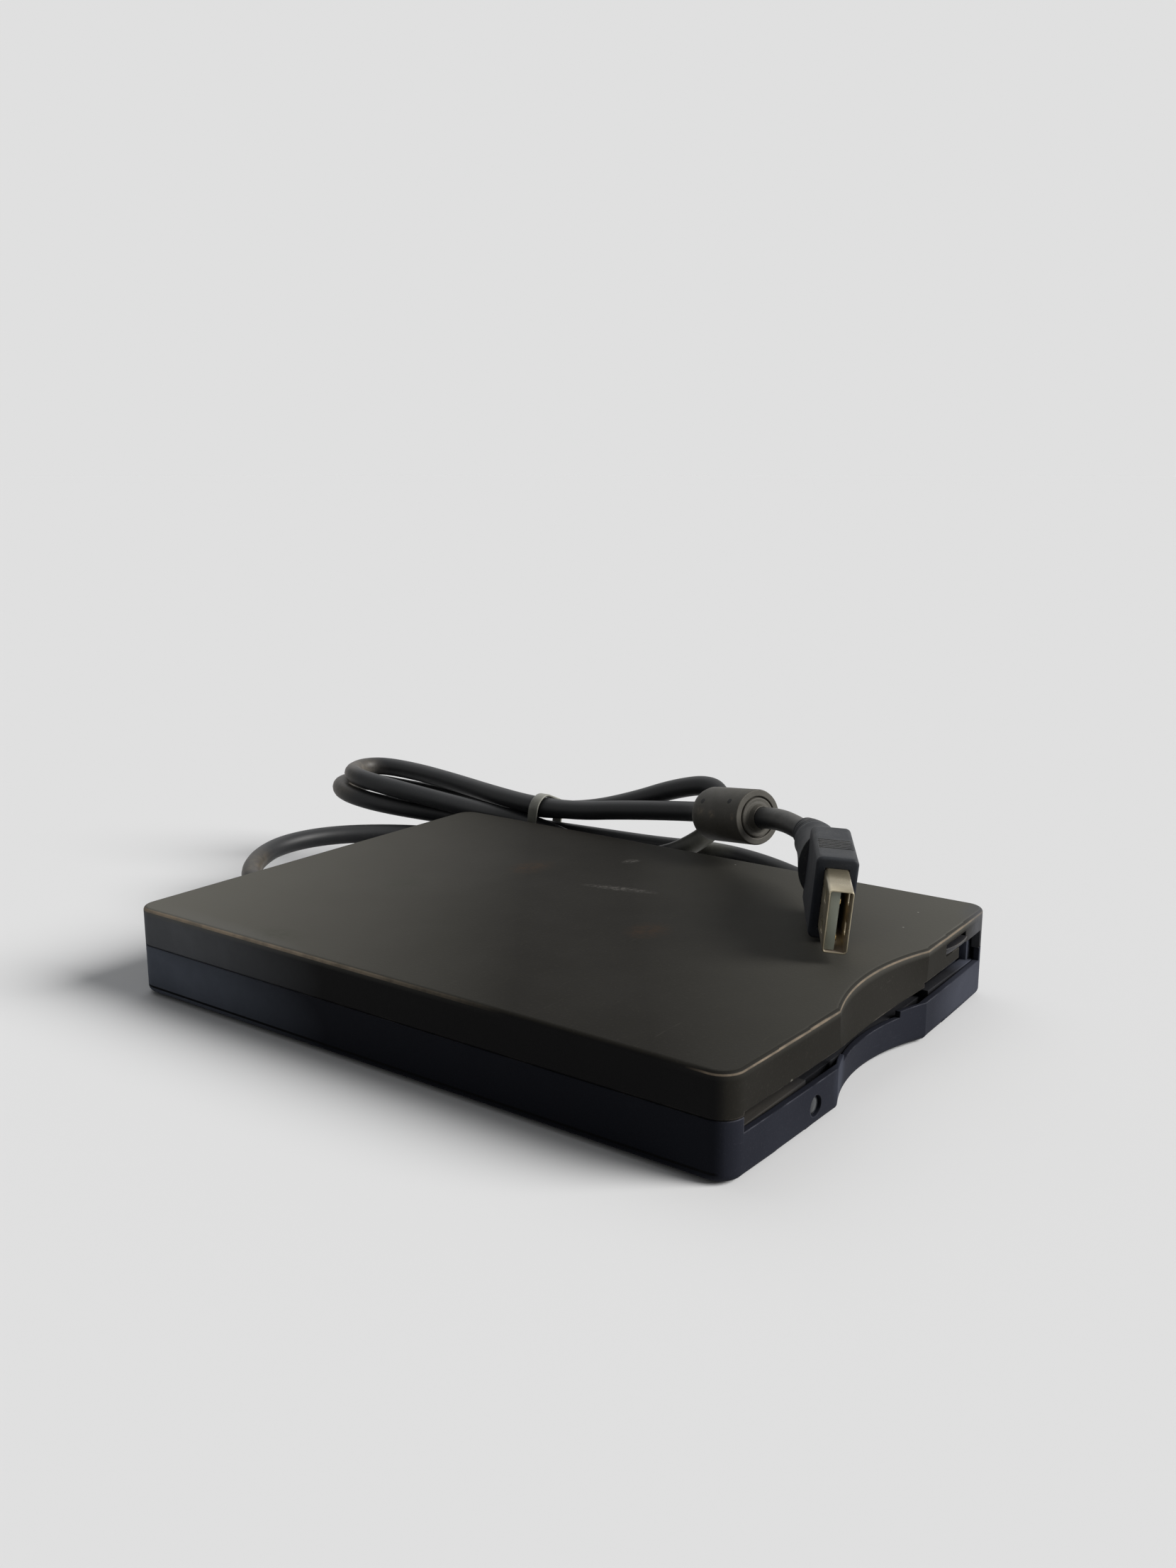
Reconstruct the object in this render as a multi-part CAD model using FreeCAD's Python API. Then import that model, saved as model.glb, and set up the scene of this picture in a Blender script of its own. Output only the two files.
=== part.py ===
"""External USB floppy disk drive for 3.5-inch diskettes, with its captive lead.

Millimetres. Origin at the middle of the case's footprint on the table, +Z up,
+Y to the rear (where the lead leaves), -Y to the front (slot and eject button),
+X to the eject button's side. The rest pose is a drive with no disk in it: the
eject button is in, the disk carrier is raised and the dust door is shut.
"""
import FreeCAD, Part
import math
import os

V = FreeCAD.Vector
X_AXIS, Y_AXIS, Z_AXIS = V(1, 0, 0), V(0, 1, 0), V(0, 0, 1)

# ---- driving dimensions: case -------------------------------------------------
WIDTH, DEPTH, HEIGHT = 103.0, 142.0, 18.65
HALF_W, HALF_D = WIDTH / 2, DEPTH / 2
FRONT = -HALF_D
CORNER_R = 4.0
TOP_EDGE_R, BOTTOM_EDGE_R = 0.8, 1.4
WALL, ROOF, FLOOR = 1.8, 1.6, 1.6
FRONT_WALL = 1.2
FRONT_BOW, BOW_CREST = 0.9, 0.15      # the front is very slightly bowed in plan
UNDERSIDE, PARTING = 0.4, 10.6       # heights of the case's underside and of its parting line
GROOVE_DEPTH, GROOVE_HEIGHT = 0.2, 0.3        # shadow line round the case at the parting
FOOT_R, FOOT_SINK = 4.2, 0.5
FEET_XY = [(sx * 41.0, y) for sx in (-1, 1) for y in (-58.0, 58.0)]

# finger scoop in the front, a shallow arc in plan that leans back towards the top
SCOOP_MIDDLE, SCOOP_HALF = 0.8, 18.65
SCOOP_TOP, SCOOP_PARTING = 3.6, 0.25         # depth in the top cover, above and below
SCOOP_WALL_TOP, SCOOP_BOTTOM = 3.3, 4.0      # depth in the bottom cover

# disk slot: the cover's lower edge is higher right of the scoop, and again below the button
SLOT_HALF, SLOT_LOW = 47.4, 8.0
SLOT_HIGH, SLOT_RIGHT_HIGH, WELL_X0, WELL_HIGH = 11.4, 12.3, 35.0, 14.4
NOTCH_HALF, NOTCH_LOW = 12.0, 6.8

# eject button and status light
BUTTON_X0, BUTTON_X1 = 28.0, 38.5
BUTTON_TOP, BUTTON_LIP, BUTTON_LOW = 16.8, 15.9, 14.4
BUTTON_GAP = 0.2
LIGHT_X, LIGHT_Z, LIGHT_R = -25.2, 4.1, 1.8

# ---- driving dimensions: mechanism ---------------------------------------------
CHASSIS_X, CHASSIS_Y0, CHASSIS_Y1 = 48.0, -62.0, 56.0
CHASSIS_Z, SHEET, CHASSIS_TOP = 2.6, 0.6, 15.7
CHASSIS_SIDE = 0.8
DECK = CHASSIS_Z + SHEET                      # upper face of the chassis floor
DOOR_Y, DOOR_Z, DOOR_T, DOOR_LOW = -65.5, 12.6, 1.0, 7.35
SPINDLE_Y = -21.5
CARRIER_X, CARRIER_Y0, CARRIER_Y1 = 46.0, -59.0, 22.0
CARRIER_LOW, CARRIER_HIGH = 7.3, 12.6
PIN_YS, PIN_Z, PIN_R = (-45.0, 6.0), 9.6, 0.9
EJECT_TRAVEL, CARRIER_DROP = 5.0, 2.2
SLIDER_Z, SLIDER_T = 13.4, 0.6
LEVER_X, LEVER_Y, LEVER_LENGTH, LEVER_REST = -36.0, 30.0, 24.0, 10.0
RAIL_Z, RAIL_X, SCREW_X, RAIL_R = 7.9, -13.0, 19.0, 1.25
CARRIAGE_Y0, CARRIAGE_Y1 = 41.0, 47.2
HEAD_Y = 18.0
ARM_Y, ARM_Z, ARM_RAISE = 44.0, 11.0, 9.3     # hinge of the upper head's arm, degrees raised
RUN = 0.05                                    # radial running clearance

# ---- driving dimensions: lead and plug -----------------------------------------
CORD_D = 4.8
GLAND_X, GLAND_Z, GLAND_R, BOOT_LENGTH = -6.5, 9.5, 3.6, 9.0
FERRITE_R, FERRITE_BACK, FERRITE_FRONT = 6.25, V(55.7, -0.7, 27.3), V(49.4, -17.1, 29.9)
PLUG_MOUTH = V(0.46, -61.2, 26.75)
PLUG_YAW, PLUG_TILT, PLUG_ROLL = 30.8, -3.5, 4.6
SHELL_L, SHELL_W, SHELL_T, SHELL_WALL = 11.75, 12.0, 4.5, 0.3
MOULD_L, MOULD_W, MOULD_T = 18.9, 16.2, 7.9
GRIP_RIBS, GRIP_PITCH = 6, 0.95
RELIEF_RADII, ROOT_SIDE = (2.75, 3.2, 3.55, 3.8), 1.0

# The lead's route: out of the boot, to the far side of the case, and back and forth
# through the tie in a loose hank of four loops, ending at the ferrite's rear face.
LEAD_ROUTE = [
    (-6.5, 80, 9.5), (-6.5, 86, 9.5), (-3.3, 93, 10), (4.2, 99, 11.2), (15.2, 102.8, 12),
    (29, 99.8, 12.2), (42.5, 89, 11.6), (52, 75, 10.6), (59.4, 53.5, 9.4), (63, 37, 6),
    (72, 22, 3), (80.5, 6, 2.45), (84.5, -11, 2.5), (80.5, -21.5, 4.6), (72.5, -27.5, 7.6),
    (66, -23, 11.2), (63.8, -11, 14.8), (63.8, 3, 15.7), (63.4, 17, 14.6), (63, 35, 14.2),
    (62.6, 53.5, 13.8), (59.6, 65.8, 14.4), (52.9, 78.5, 15.8), (46, 90.1, 17.7),
    (42.3, 98.5, 19.2), (42, 106.8, 20.4), (45.9, 112.3, 21), (51.7, 114, 20.8),
    (56.5, 110.4, 20.2), (59.2, 98, 19.2), (61.3, 83.3, 18.6), (62.4, 68.7, 18.8),
    (62.4, 53.5, 19.1), (62.8, 39, 21), (63.6, 26, 25), (65, 15, 29.4), (66.4, 5, 31.6),
    (64.6, 0.6, 27.9), (62.6, 1.2, 22.6), (59.6, 5, 18.6), (57.6, 11.5, 14.8),
    (56.8, 21, 12.4), (56.8, 32, 12.2), (57.3, 43, 14), (57.8, 53.5, 16),
    (55.1, 67.3, 17.8), (49.4, 79.4, 20.6), (44.6, 91.3, 23.2), (42.9, 102.8, 24.9),
    (46.8, 108.5, 25), (53.2, 110.1, 25.2), (58.2, 106.6, 25), (59.3, 94.8, 24.4),
    (59, 81.4, 23.3), (58.4, 67.8, 22), (57.6, 53.5, 21.1), (57.2, 39, 21.8),
    (57.2, 25, 24.1), (58.535, 6.68, 26.13), (55.7, -0.7, 27.3)]
# The short tail, from the ferrite's front face to the plug's bend relief.
TAIL_ROUTE = [(49.4, -17.1, 29.9), (46.88, -23.66, 30.94), (44.5, -28.6, 30.9)]
RELIEF_ROUTE = [(44.5, -28.6, 30.9), (41.9, -32.9, 30.6), (38.2, -37.0, 30.0), (33.6, -40.9, 29.4)]


# ---- helpers -------------------------------------------------------------------
def box(x0, x1, y0, y1, z0, z1):
    return Part.makeBox(x1 - x0, y1 - y0, z1 - z0, V(x0, y0, z0))


def post(x, y, z0, z1, r):
    return Part.makeCylinder(r, z1 - z0, V(x, y, z0))


def rod_y(x, z, y0, y1, r):
    return Part.makeCylinder(r, y1 - y0, V(x, y0, z), Y_AXIS)


def rod_x(y, z, x0, x1, r):
    return Part.makeCylinder(r, x1 - x0, V(x0, y, z), X_AXIS)


def ring(x, y, z0, z1, r_in, r_out):
    return post(x, y, z0, z1, r_out).cut(post(x, y, z0 - 1, z1 + 1, r_in))


def fuse(shapes):
    body = shapes[0].multiFuse(shapes[1:]) if len(shapes) > 1 else shapes[0]
    return body.removeSplitter()


def cut(body, tools):
    return body.cut(Part.makeCompound(tools))


def mirrored(shape):
    """The shape and its mirror image across the drive's middle plane."""
    return [shape, shape.mirror(V(0, 0, 0), X_AXIS)]


def save(name, shape):
    solids = shape.Solids
    node = solids[0] if len(solids) == 1 else Part.makeCompound(solids)
    node.exportStep(os.path.join("parts", name + ".step"))
    print("%-22s %2d solid(s) %9.1f mm3 %s" % (name, len(solids), node.Volume, node.isValid()))


def plan_face(inset, front_inset, z):
    """The case's outline in plan, drawn in by inset at the sides and rear."""
    hw, rear, r = HALF_W - inset, HALF_D - inset, CORNER_R - min(inset, CORNER_R - 1.0)
    corner_y = FRONT + front_inset + FRONT_BOW
    crest_y = FRONT + front_inset - BOW_CREST
    q = r * (1 - math.sqrt(0.5))
    a, b = V(-hw, corner_y + r, z), V(-hw + r, corner_y, z)
    c, d = V(hw - r, corner_y, z), V(hw, corner_y + r, z)
    e, f = V(hw, rear - r, z), V(hw - r, rear, z)
    g, h = V(-hw + r, rear, z), V(-hw, rear - r, z)
    edges = [
        Part.Arc(a, V(-hw + q, corner_y + q, z), b).toShape(),
        Part.Arc(b, V(0, crest_y, z), c).toShape(),
        Part.Arc(c, V(hw - q, corner_y + q, z), d).toShape(),
        Part.LineSegment(d, e).toShape(),
        Part.Arc(e, V(hw - q, rear - q, z), f).toShape(),
        Part.LineSegment(f, g).toShape(),
        Part.Arc(g, V(-hw + q, rear - q, z), h).toShape(),
        Part.LineSegment(h, a).toShape()]
    return Part.Face(Part.Wire(edges))


def prism(inset, front_inset, z0, z1):
    return plan_face(inset, front_inset, z0).extrude(V(0, 0, z1 - z0))


def scoop_wire(depth, grow, z):
    """One level of the finger scoop: an arc of the given depth, closed in front of the case."""
    half, ahead = SCOOP_HALF + grow, FRONT - 3.0
    x0, x1 = SCOOP_MIDDLE - half, SCOOP_MIDDLE + half
    left, right = V(x0, FRONT - 0.1, z), V(x1, FRONT - 0.1, z)
    deep = V(SCOOP_MIDDLE, FRONT + depth + grow, z)
    ends = [left, V(x0, ahead, z), V(x1, ahead, z), right]
    edges = [Part.Arc(right, deep, left).toShape()]
    edges += [Part.LineSegment(p, q).toShape() for p, q in zip(ends, ends[1:])]
    return Part.Wire(Part.__sortEdges__(edges))


def scoop(z0, depth0, z1, depth1, grow=0.0):
    """The scoop between two heights, leaning evenly and run on 1 mm past both."""
    slope = (depth1 - depth0) / (z1 - z0)
    wires = [scoop_wire(depth0 - slope, grow, z0 - 1), scoop_wire(depth1 + slope, grow, z1 + 1)]
    return Part.makeLoft(wires, True, True)


def edges_at(shape, z):
    return [e for e in shape.Edges if all(abs(v.Z - z) < 1e-6 for v in e.Vertexes)
            and abs(e.CenterOfMass.z - z) < 1e-6]


def tube(route, d, name):
    """A round cord along straight runs joined by tangent arcs."""
    pts = [V(*p) for p in route]
    edges, start, radii = [], pts[0], []
    for before, here, after in zip(pts, pts[1:], pts[2:]):
        come, go = here.sub(before), after.sub(here)
        turn = come.getAngle(go)
        tangent = 0.45 * min(come.Length, go.Length)
        radius = tangent / math.tan(turn / 2)
        radii.append(radius)
        come.normalize()
        go.normalize()
        p, q = here - come * tangent, here + go * tangent
        inward = (go - come).normalize()
        middle = here + inward * (radius / math.cos(turn / 2) - radius)
        edges.append(Part.LineSegment(start, p).toShape())
        edges.append(Part.Arc(p, middle, q).toShape())
        start = q
    edges.append(Part.LineSegment(start, pts[-1]).toShape())
    path = Part.Wire(edges)
    first = pts[1].sub(pts[0])
    section = Part.Wire(Part.makeCircle(d / 2, pts[0], first))
    solid = path.makePipeShell([section], True, True)
    solid = solid.Solids[0] if solid.Solids else Part.Solid(solid.Shells[0])
    if solid.Volume < 0:
        solid.reverse()
    expected = math.pi * d * d / 4 * path.Length
    print("%s: length %.1f, smallest radii %s, volume ratio %.4f" % (
        name, path.Length, [round(r, 1) for r in sorted(radii)[:6]], solid.Volume / expected))
    return solid


def placed(shape, at, yaw, pitch, roll):
    copy = shape.copy()
    copy.Placement = FreeCAD.Placement(at, FreeCAD.Rotation(yaw, pitch, roll))
    return copy


# ---- case ----------------------------------------------------------------------
CASE_SCREWS = [(-44.0, 64.2), (44.0, 64.2)]
MECH_SCREWS = [(sx * 38.0, y) for sx in (-1, 1) for y in (-49.0, 46.0)]
SCREW_R, SCREW_HOLE_R, SCREW_HEAD_R = 1.2, 1.35, 2.3
USB_POSTS = [(-30.0, 63.0), (30.0, 63.0)]
USB_BOARD_Z = 4.8
BOSS_TOP = 8.0
gland_hole = rod_y(GLAND_X, GLAND_Z, HALF_D - 4, HALF_D + 1, GLAND_R)


def top_cover():
    outer = prism(0, 0, PARTING, HEIGHT)
    outer = outer.cut(scoop(PARTING, SCOOP_PARTING, HEIGHT, SCOOP_TOP))
    outer = outer.makeFillet(TOP_EDGE_R, edges_at(outer, HEIGHT))
    groove = prism(-1, -1, PARTING - 1, PARTING + GROOVE_HEIGHT)
    outer = outer.cut(groove.cut(prism(GROOVE_DEPTH, GROOVE_DEPTH, PARTING - 1, PARTING + GROOVE_HEIGHT)))
    cavity = prism(WALL, WALL, PARTING - 1, HEIGHT - ROOF)
    cavity = cavity.cut(scoop(PARTING, SCOOP_PARTING, HEIGHT, SCOOP_TOP, WALL))
    slot = box(-SLOT_HALF, SLOT_HALF, FRONT - 1, FRONT + 3, PARTING - 1, SLOT_HIGH)
    right_slot = box(SCOOP_HALF - 1, SLOT_HALF, FRONT - 1, FRONT + 3, PARTING - 1, SLOT_RIGHT_HIGH)
    well = box(WELL_X0, SLOT_HALF, FRONT - 1, FRONT + 3, PARTING - 1, WELL_HIGH)
    notch = box(BUTTON_X0, BUTTON_X1, FRONT - 1, FRONT + 3, BUTTON_LOW, BUTTON_TOP)
    shell = cut(outer, [cavity, slot, right_slot, well, notch, gland_hole])
    roof = HEIGHT - ROOF
    posts = [post(x, y, BOSS_TOP + 0.1, roof + 0.2, 3.0) for x, y in CASE_SCREWS]
    catches = []
    for y in (-45.0, 0.0, 45.0):
        catches += mirrored(box(48.75, 49.55, y - 4, y + 4, PARTING - 2.6, PARTING))
        catches += mirrored(box(48.75, 49.95, y - 4, y + 4, PARTING, PARTING + 2.6))
    pilots = [post(x, y, BOSS_TOP, BOSS_TOP + 6, SCREW_R + RUN) for x, y in CASE_SCREWS]
    return cut(fuse([shell] + posts + catches), pilots)


def bottom_cover():
    outer = prism(0, 0, UNDERSIDE, PARTING)
    outer = outer.cut(scoop(UNDERSIDE, SCOOP_BOTTOM, SLOT_LOW, SCOOP_WALL_TOP).fuse(
        scoop(SLOT_LOW, SCOOP_WALL_TOP, PARTING, SCOOP_WALL_TOP)))
    outer = outer.makeFillet(BOTTOM_EDGE_R, edges_at(outer, UNDERSIDE))
    cavity = prism(WALL, FRONT_WALL, UNDERSIDE + FLOOR, PARTING + 1)
    cavity = cavity.cut(scoop(UNDERSIDE, SCOOP_BOTTOM, SLOT_LOW, SCOOP_WALL_TOP, FRONT_WALL))
    slot = box(-SLOT_HALF, SLOT_HALF, FRONT - 1, FRONT + 6.5, SLOT_LOW, PARTING + 1)
    notch = box(-NOTCH_HALF, NOTCH_HALF, FRONT - 1, FRONT + 6.5, NOTCH_LOW, PARTING + 1)
    light = rod_y(LIGHT_X, LIGHT_Z, FRONT - 1, FRONT + 2, LIGHT_R + RUN)
    label = box(-30, 30, 8, 42, UNDERSIDE - 1, UNDERSIDE + 0.3)
    feet = [post(x, y, UNDERSIDE - 1, UNDERSIDE + FOOT_SINK, FOOT_R + RUN) for x, y in FEET_XY]
    shell = cut(outer, [cavity, slot, notch, light, label, gland_hole] + feet)
    floor = UNDERSIDE + FLOOR
    posts = [post(x, y, floor - 0.2, BOSS_TOP, 3.2) for x, y in CASE_SCREWS]
    posts += [post(x, y, floor - 0.2, CHASSIS_Z, 3.6) for x, y in MECH_SCREWS]
    posts += [post(x, y, floor - 0.2, USB_BOARD_Z, 2.2) for x, y in USB_POSTS]
    holes = []
    for x, y in CASE_SCREWS + MECH_SCREWS:
        holes.append(post(x, y, UNDERSIDE - 1, BOSS_TOP + 1, SCREW_HOLE_R))
        holes.append(post(x, y, UNDERSIDE - 1, UNDERSIDE + 1.0, SCREW_HEAD_R + 0.2))
    return cut(fuse([shell] + posts), holes)


def screw(x, y, tip):
    """A pan-head screw put in from below, with a cross recess."""
    low = UNDERSIDE + 0.15
    seat = UNDERSIDE + 1.0
    body = fuse([post(x, y, low, seat, SCREW_HEAD_R), post(x, y, seat, tip, SCREW_R)])
    cross = [box(x - 1.2, x + 1.2, y - 0.25, y + 0.25, low - 1, low + 0.5),
             box(x - 0.25, x + 0.25, y - 1.2, y + 1.2, low - 1, low + 0.5)]
    return cut(body, cross)


def foot(x, y):
    pad = post(x, y, 0, UNDERSIDE + FOOT_SINK, FOOT_R)
    return pad.makeFillet(0.3, edges_at(pad, 0))


# ---- front: inner bezel, dust door, button, light --------------------------------
EAR_X0, EAR_X1 = 46.2, 48.2
BEZEL_LOW, BEZEL_SILL = 3.0, 6.5
LEDGE_X, LEDGE_Y0, LEDGE_Y1, BEZEL_Y1 = 25.0, -68.75, -67.0, -63.5
EAR_Y0 = -67.9
DOOR_PIN_R = 0.65


def slot_bezel():
    sill = box(-EAR_X1, EAR_X1, LEDGE_Y1, BEZEL_Y1, BEZEL_LOW, BEZEL_SILL)
    ledges = mirrored(box(LEDGE_X, EAR_X1, LEDGE_Y0, LEDGE_Y1 + 0.4, BEZEL_LOW, SLOT_LOW))
    ears = mirrored(box(EAR_X0, EAR_X1, EAR_Y0, BEZEL_Y1, BEZEL_LOW, DOOR_Z + 1.6))
    body = fuse([sill] + ledges + ears)
    behind_scoop = scoop(UNDERSIDE, SCOOP_BOTTOM, SLOT_LOW, SCOOP_WALL_TOP, FRONT_WALL + 0.3)
    pin_hole = rod_x(DOOR_Y, DOOR_Z, -60, 60, DOOR_PIN_R + RUN)
    light = rod_y(LIGHT_X, LIGHT_Z, FRONT, FRONT + 10, LIGHT_R + RUN)
    return cut(body, [behind_scoop, pin_hole, light])


def slot_door():
    half = EAR_X0 - 0.4
    flap = box(-half, half, DOOR_Y - DOOR_T / 2, DOOR_Y + DOOR_T / 2, DOOR_LOW, DOOR_Z)
    knuckle = rod_x(DOOR_Y, DOOR_Z, -half, half, 0.9)
    pins = rod_x(DOOR_Y, DOOR_Z, -EAR_X1 + 0.3, EAR_X1 - 0.3, DOOR_PIN_R)
    return fuse([flap, knuckle, pins])


def eject_button():
    """A low key whose front swells out to a finger lip, with a recess above the lip."""
    x0, x1 = BUTTON_X0 + BUTTON_GAP, BUTTON_X1 - BUTTON_GAP
    low, top, middle = BUTTON_LOW + BUTTON_GAP, BUTTON_TOP - BUTTON_GAP, (x0 + x1) / 2

    def level(z, left, swell, right):
        a, b = V(x0, FRONT + left, z), V(x1, FRONT + right, z)
        back = [V(x1, FRONT + 3.2, z), V(x0, FRONT + 3.2, z)]
        edges = [Part.Arc(a, V(middle, FRONT + swell, z), b).toShape()]
        edges += [Part.LineSegment(p, q).toShape() for p, q in ((b, back[0]), back, (back[1], a))]
        return Part.Wire(edges)
    key = Part.makeLoft([level(low, 0.4, 0.3, 0.5), level(BUTTON_LIP, 0.3, -0.45, 0.1)], True, True)
    body = box(x0, x1, FRONT + 2.0, FRONT + 7.2, low, top)
    stem = box(x0 + 2.2, x1 - 2.2, FRONT + 7.0, FRONT + 14.0, low, 15.4)
    return fuse([key, body, stem])


def indicator_lens():
    return rod_y(LIGHT_X, LIGHT_Z, FRONT + 0.55, BEZEL_Y1 - 0.1, LIGHT_R)


def indicator_led():
    return box(LIGHT_X - 1.5, LIGHT_X + 1.5, BEZEL_Y1 + 0.05, CHASSIS_Y0 + 1.5, DECK, LIGHT_Z + 1)


# ---- mechanism: chassis, top plate, carrier, slider, lever ------------------------
def drive_chassis():
    x, top = CHASSIS_X, CHASSIS_TOP
    floor = box(-x, x, CHASSIS_Y0, CHASSIS_Y1, CHASSIS_Z, DECK)
    sides = mirrored(box(x - CHASSIS_SIDE, x, CHASSIS_Y0 + 3, CHASSIS_Y1, CHASSIS_Z, top))
    lever_post = post(LEVER_X, LEVER_Y, DECK - 0.2, 13.5, 1.5)
    lever_seat = post(LEVER_X, LEVER_Y, DECK - 0.2, 12.2, 2.6)
    standoffs = [post(px, py, DECK - 0.2, 4.4, 1.6) for px, py in ((-43, 38), (-24, 52))]
    body = fuse([floor] + sides + [lever_post, lever_seat] + standoffs)
    tools = [post(0, SPINDLE_Y, 0, 6, 3.5)]
    tools += mirrored(box(30, 44, -40, -10, 0, 6)) + [box(-8, 12, 26, 38, 0, 6)]
    tools += [post(px, py, 0, 6, SCREW_R + RUN) for px, py in MECH_SCREWS]
    for y in PIN_YS:
        slot = box(x - 2, x + 1, y - 1.05, y + 1.05, PIN_Z - CARRIER_DROP - 1.05, PIN_Z + 1.05)
        tools += mirrored(slot)
    return cut(body, tools)


def drive_top_plate():
    x, skirt = CHASSIS_X + 0.6, 0.5
    plate = box(-x, x, CHASSIS_Y0 + 3, CHASSIS_Y1, CHASSIS_TOP, CHASSIS_TOP + skirt)
    skirts = mirrored(box(x - skirt, x, CHASSIS_Y0 + 3, CHASSIS_Y1, 12.6, CHASSIS_TOP + 0.1))
    windows = [box(-20, 20, -44, -14, 10, 20), box(-12, 24, 8, 40, 10, 20)]
    return cut(fuse([plate] + skirts), windows)


def disk_carrier():
    x, t = CARRIER_X, SHEET
    plate = box(-x, x, CARRIER_Y0, -2, CARRIER_HIGH - t, CARRIER_HIGH)
    plate = plate.cut(box(-26, 26, -46, -12, 0, 20))
    parts = [plate]
    parts += mirrored(box(x - t, x, CARRIER_Y0, CARRIER_Y1, CARRIER_LOW, CARRIER_HIGH))
    parts += mirrored(box(41.5, x, CARRIER_Y0, CARRIER_Y1, CARRIER_LOW, CARRIER_LOW + t))
    for y in PIN_YS:
        parts += mirrored(rod_x(y, PIN_Z, x - 0.2, CHASSIS_X - 0.1, PIN_R))
    return fuse(parts)


def eject_slider():
    outer, t, low = 46.95, SLIDER_T, 5.4
    frame = box(-outer, outer, -57, -2, SLIDER_Z, SLIDER_Z + t)
    frame = frame.cut(box(-42, 42, -48, -9, 0, 20))
    plates = mirrored(box(outer - t, outer, -52, 14, low, SLIDER_Z + t))
    tab = box(30.4, 36.3, -57, -56.4, SLIDER_Z, 15.4)
    body = fuse([frame] + plates + [tab])
    slots = []
    for y in PIN_YS:
        r = PIN_R + 0.12
        ends = [rod_x(y, PIN_Z, outer - 2, outer + 2, r),
                rod_x(y + EJECT_TRAVEL, PIN_Z - CARRIER_DROP, outer - 2, outer + 2, r)]
        length = math.hypot(EJECT_TRAVEL, CARRIER_DROP)
        angle = math.degrees(math.atan2(-CARRIER_DROP, EJECT_TRAVEL))
        run = Part.makeBox(4, length, 2 * r, V(outer - 2, 0, -r))
        run.Placement = FreeCAD.Placement(V(0, y, PIN_Z), FreeCAD.Rotation(X_AXIS, angle))
        slots += mirrored(fuse(ends + [run]))
    return cut(body, slots)


def eject_lever():
    hub = post(0, 0, 12.3, 13.1, 3.2)
    arm = box(-1.7, 1.7, -LEVER_LENGTH, 0, 12.3, 13.1)
    tab = box(-1.2, 1.2, -LEVER_LENGTH, -LEVER_LENGTH + 0.8, 8.0, 12.4)
    pawl = box(0, 6.0, -2.0, 1.2, 12.3, 13.1)
    body = fuse([hub, arm, tab, pawl]).cut(post(0, 0, 12, 14, 1.5 + RUN))
    return placed(body, V(LEVER_X, LEVER_Y, 0), LEVER_REST, 0, 0)


# ---- mechanism: spindle motor ---------------------------------------------------
ROTOR_R, MAGNET_R, ROTOR_LOW, ROTOR_TOP = 20.0, 18.4, 4.0, 5.3
COILS = 12


def spindle_rotor():
    disc = post(0, SPINDLE_Y, ROTOR_TOP - 0.4, ROTOR_TOP, ROTOR_R)
    rim = ring(0, SPINDLE_Y, ROTOR_LOW, ROTOR_TOP, ROTOR_R - 0.6, ROTOR_R)
    return fuse([disc, rim]).cut(post(0, SPINDLE_Y, 0, 9, 1.5))


def spindle_hub():
    hub = ring(0, SPINDLE_Y, ROTOR_TOP, ROTOR_TOP + 1.3, 1.5, 10.0)
    return hub.cut(post(7.5, SPINDLE_Y, ROTOR_TOP, 9, 1.0))


def stator_core():
    teeth = [ring(0, SPINDLE_Y, 4.1, 4.4, 5.0, 8.5)]
    for i in range(COILS):
        tooth = box(8.0, 17.6, -0.8, 0.8, 4.1, 4.4)
        tooth.rotate(V(0, 0, 0), Z_AXIS, i * 360.0 / COILS)
        tooth.translate(V(0, SPINDLE_Y, 0))
        teeth.append(tooth)
    return fuse(teeth)


def stator_coils():
    coils = []
    for i in range(COILS):
        coil = box(10.5, 15.5, -1.9, 1.9, DECK + 0.6, 4.7).cut(box(9, 17, -0.8, 0.8, 4.1, 4.4))
        coil.rotate(V(0, 0, 0), Z_AXIS, i * 360.0 / COILS)
        coil.translate(V(0, SPINDLE_Y, 0))
        coils.append(coil)
    return Part.makeCompound(coils)


# ---- mechanism: head carriage and its drive --------------------------------------
BEARING_Y0, BEARING_Y1 = 24.4, 25.9
MOTOR_Y0, MOTOR_Y1, MOTOR_R = 48.0, 56.0, 4.6


def head_carriage():
    bar = box(-15.4, 21.4, CARRIAGE_Y0, CARRIAGE_Y1, 4.1, 9.2)
    bush = rod_y(RAIL_X, RAIL_Z, CARRIAGE_Y0, 53.0, 2.7)
    nut = rod_y(SCREW_X, RAIL_Z, CARRIAGE_Y0, CARRIAGE_Y1, 2.7)
    arm = box(-6, 6, HEAD_Y - 3.2, CARRIAGE_Y0 + 0.2, 4.1, 6.0)
    ears = mirrored(box(7.7, 9.2, 42.6, 45.4, 9.0, 12.4))
    body = fuse([bar, bush, nut, arm] + ears)
    bores = [rod_y(RAIL_X, RAIL_Z, 30, 60, RAIL_R + RUN), rod_y(SCREW_X, RAIL_Z, 30, 60, RAIL_R + RUN),
             rod_x(ARM_Y, ARM_Z, -12, 12, 0.8 + RUN)]
    return cut(body, bores)


def raised(shape):
    """A piece of the upper head's arm, drawn level and lifted to its rest pose."""
    copy = shape.copy()
    copy.rotate(V(0, ARM_Y, ARM_Z), X_AXIS, -ARM_RAISE)
    return copy


def head_arm():
    knuckle = rod_x(ARM_Y, ARM_Z, -7.4, 7.4, 1.6)
    plate = box(-6.5, 6.5, HEAD_Y - 3, ARM_Y, 9.6, 10.4).cut(box(-3, 3, 25, 38, 9, 11))
    return raised(fuse([knuckle, plate]).cut(rod_x(ARM_Y, ARM_Z, -12, 12, 0.8 + RUN)))


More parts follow.
